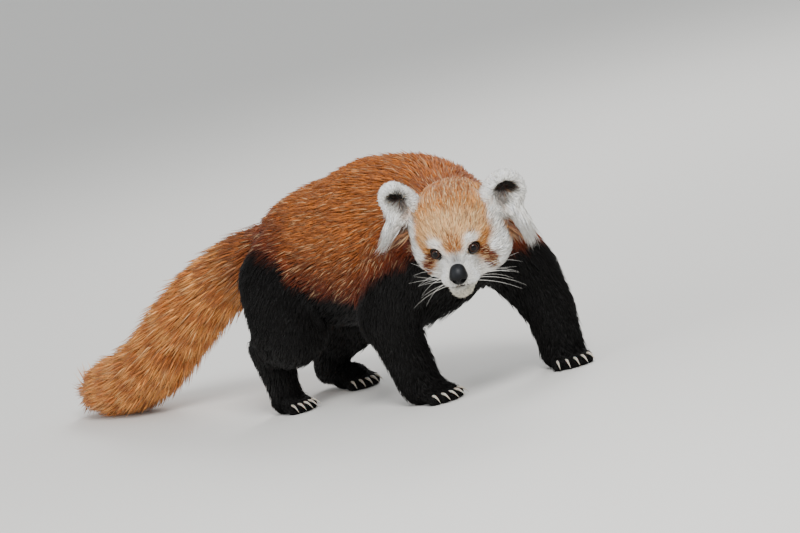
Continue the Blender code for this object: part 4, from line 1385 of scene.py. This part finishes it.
def hair_material():
    """Guard hair, grown keratin with tiny overlapping scales, so it is dull with a weak soft sheen.

    A real hair is 0.05 to 0.1 mm thick, too fine to draw, so each tuft stands for many, in blotches of 4 mm.
    """
    sheen = {"Sheen_Weight": 0.04, "Sheen_Roughness": 0.5}
    material, tree, shader = new_material("coat_hair", Roughness=0.6, Specular_IOR_Level=0.12, **sheen)
    colour_by_markings(tree, shader, add_noise(tree, 260.0, 2.0), 0.82, 1.16)
    return material


def skin_material():
    """Skin with dense woolly underfur, grown short and fine, so it is matt; its colour is the coat's,
    darkened as painted shade under the hair over it.

    Real underfur is finer than 0.05 mm, too fine to draw, so its streaks are drawn 1.4 mm wide.
    """
    material, tree, shader = new_material("underfur_skin", Roughness=0.85, Specular_IOR_Level=0.2)
    streaks = add_noise(tree, 700.0, 4.0)
    colour_by_markings(tree, shader, streaks, 0.6, 1.3)
    raise_pattern(tree, shader, 0.6, 0.0006, streaks.outputs["Fac"])
    return material


def eye_material():
    """Living eye, tissue under a film of tears: a clear smooth front gives one small sharp highlight.

    Under it are the black pupil and a brown iris with a dark edge, with spokes drawn 1.1 mm wide.
    """
    material, tree, shader = new_material("wet_eye", Roughness=0.05, IOR=1.38, Specular_IOR_Level=0.38)
    angle = add(tree, "ShaderNodeAttribute", {"attribute_name": "sight_angle"})
    wander = add(tree, "ShaderNodeMath", {"operation": "MULTIPLY_ADD", 1: 0.10})
    tree.links.new(add_noise(tree, 900.0, 3.0).outputs["Fac"], wander.inputs[0])
    tree.links.new(angle.outputs["Fac"], wander.inputs[2])
    colour_by_ramp(tree, shader, wander.outputs[0], IRIS_STOPS)
    return material


def nose_material():
    """Nose leather, bare thick skin kept moist: black, with a bluish grey painted highlight on top, and a
    broad soft shine.

    Its cobbles are about 0.8 mm across, as on the real nose, and its blotches 4 mm.
    """
    material, tree, shader = new_material("nose_leather", Roughness=0.4, Specular_IOR_Level=0.22)
    colour_by_markings(tree, shader, add_noise(tree, 260.0, 3.0), 0.25, 0.85)
    place = add(tree, "ShaderNodeTexCoord")
    cobbles = add(tree, "ShaderNodeTexVoronoi", {"Scale": 1300.0}, Vector=place.outputs["Object"])
    raise_pattern(tree, shader, 0.35, 0.0003, cobbles.outputs["Distance"])
    return material


def lid_material():
    """Lid skin, thin and bare at the rim and wetted by tears, so it is dark with a low shine.

    Its folds are drawn 0.9 mm wide.
    """
    material, tree, shader = new_material("lid_skin", Roughness=0.42)
    folds = add_noise(tree, 1100.0, 3.0)
    colour_by_markings(tree, shader, folds, 0.8, 1.3)
    raise_pattern(tree, shader, 0.3, 0.0003, folds.outputs["Fac"])
    return material


def claw_material():
    """Claw horn, keratin grown in layers and worn smooth: pale, a little see-through, with a satin shine.

    Its streaks are drawn 2 mm long.
    """
    depth = {"Subsurface_Weight": 0.15, "Subsurface_Scale": 0.002}
    material, tree, shader = new_material("claw_horn", Roughness=0.35, **depth)
    streaks = add_noise(tree, 500.0, 4.0).outputs["Fac"]
    colour_by_ramp(tree, shader, streaks, CLAW_STOPS)
    raise_pattern(tree, shader, 0.15, 0.0002, streaks)
    return material


def whisker_material():
    """Whisker keratin, grown thick, smooth and stiff: white, with shades 17 mm long along it."""
    material, tree, shader = new_material("whisker_hair", Roughness=0.4)
    colour_by_ramp(tree, shader, add_noise(tree, 60.0, 2.0).outputs["Fac"], WHISKER_STOPS)
    return material


def floor_material():
    """Plain pale matt floor."""
    material, _, shader = new_material("matt_floor", Roughness=0.9)
    shader.inputs["Base Color"].default_value = (*FLOOR_PALE, 1.0)
    return material


# Stage, light and camera


def build_stage():
    """A wide pale floor under the animal."""
    mesh = bpy.data.meshes.new("floor")
    signs = ((-1, -1), (1, -1), (1, 1), (-1, 1))
    mesh.from_pydata([(x * FLOOR_HALF_WIDTH, y * FLOOR_HALF_WIDTH, 0) for x, y in signs], [], [(0, 1, 2, 3)])
    linked("floor", mesh, floor_material())


def build_light():
    """Soft key from the viewer's upper right, wide fill from the left, rim from behind and a pale room."""
    world = bpy.data.worlds.new("room")
    world.use_nodes = True
    background = world.node_tree.nodes["Background"]
    background.inputs["Color"].default_value = (*ROOM_PALE, 1.0)
    background.inputs["Strength"].default_value = ROOM_LIGHT
    bpy.context.scene.world = world
    for name, (place, size, power) in LAMPS.items():
        lamp = bpy.data.lights.new(name, "AREA")
        lamp.size = size
        lamp.energy = power
        thing = linked(name, lamp)
        thing.location = place
        thing.rotation_euler = (Vector(LIT_POINT) - Vector(place)).to_track_quat("-Z", "Y").to_euler()


def build_camera():
    """The viewer's camera, aimed so that the middle of the eyes falls where the picture shows it."""
    level = Vector((math.sin(CAMERA_AZIMUTH), -math.cos(CAMERA_AZIMUTH), 0.0))
    back = level * math.cos(CAMERA_ELEVATION) + Vector((0.0, 0.0, math.sin(CAMERA_ELEVATION)))
    right = Vector((math.cos(CAMERA_AZIMUTH), math.sin(CAMERA_AZIMUTH), 0.0))
    up = back.cross(right)
    across = math.cos(CAMERA_ROLL) * right - math.sin(CAMERA_ROLL) * up
    upward = math.sin(CAMERA_ROLL) * right + math.cos(CAMERA_ROLL) * up
    eyes = Vector(placed((EYES[1] + EYES[-1]) / 2.0))
    beside = (EYES_AT[0] - PICTURE_WIDTH / 2.0) / FOCAL_PIXELS * CAMERA_DISTANCE
    above = (PICTURE_HEIGHT / 2.0 - EYES_AT[1]) / FOCAL_PIXELS * CAMERA_DISTANCE
    aim = eyes - beside * across - above * upward
    lens = bpy.data.cameras.new("camera")
    lens.sensor_width = SENSOR_WIDTH
    lens.lens = SENSOR_WIDTH * FOCAL_PIXELS / PICTURE_WIDTH
    lens.clip_end = 60.0
    camera = linked("camera", lens)
    turn = Matrix((across, upward, back)).transposed().to_4x4()
    camera.matrix_world = Matrix.Translation(aim + CAMERA_DISTANCE * back) @ turn
    bpy.context.scene.camera = camera


def main():
    """Builds every piece."""
    skin = build_skin(skin_material())
    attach(skin, "root")
    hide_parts(*FLESH)
    build_coat(skin, hair_material())
    eye = eye_material()
    build_eye(1, "eyeball_left", eye)
    build_eye(-1, "eyeball_right", eye)
    build_lids(lid_material())
    build_nose(nose_material())
    build_claws(claw_material())
    build_whiskers(whisker_material())
    build_stage()
    build_light()
    build_camera()
    bpy.context.view_layer.update()


main()
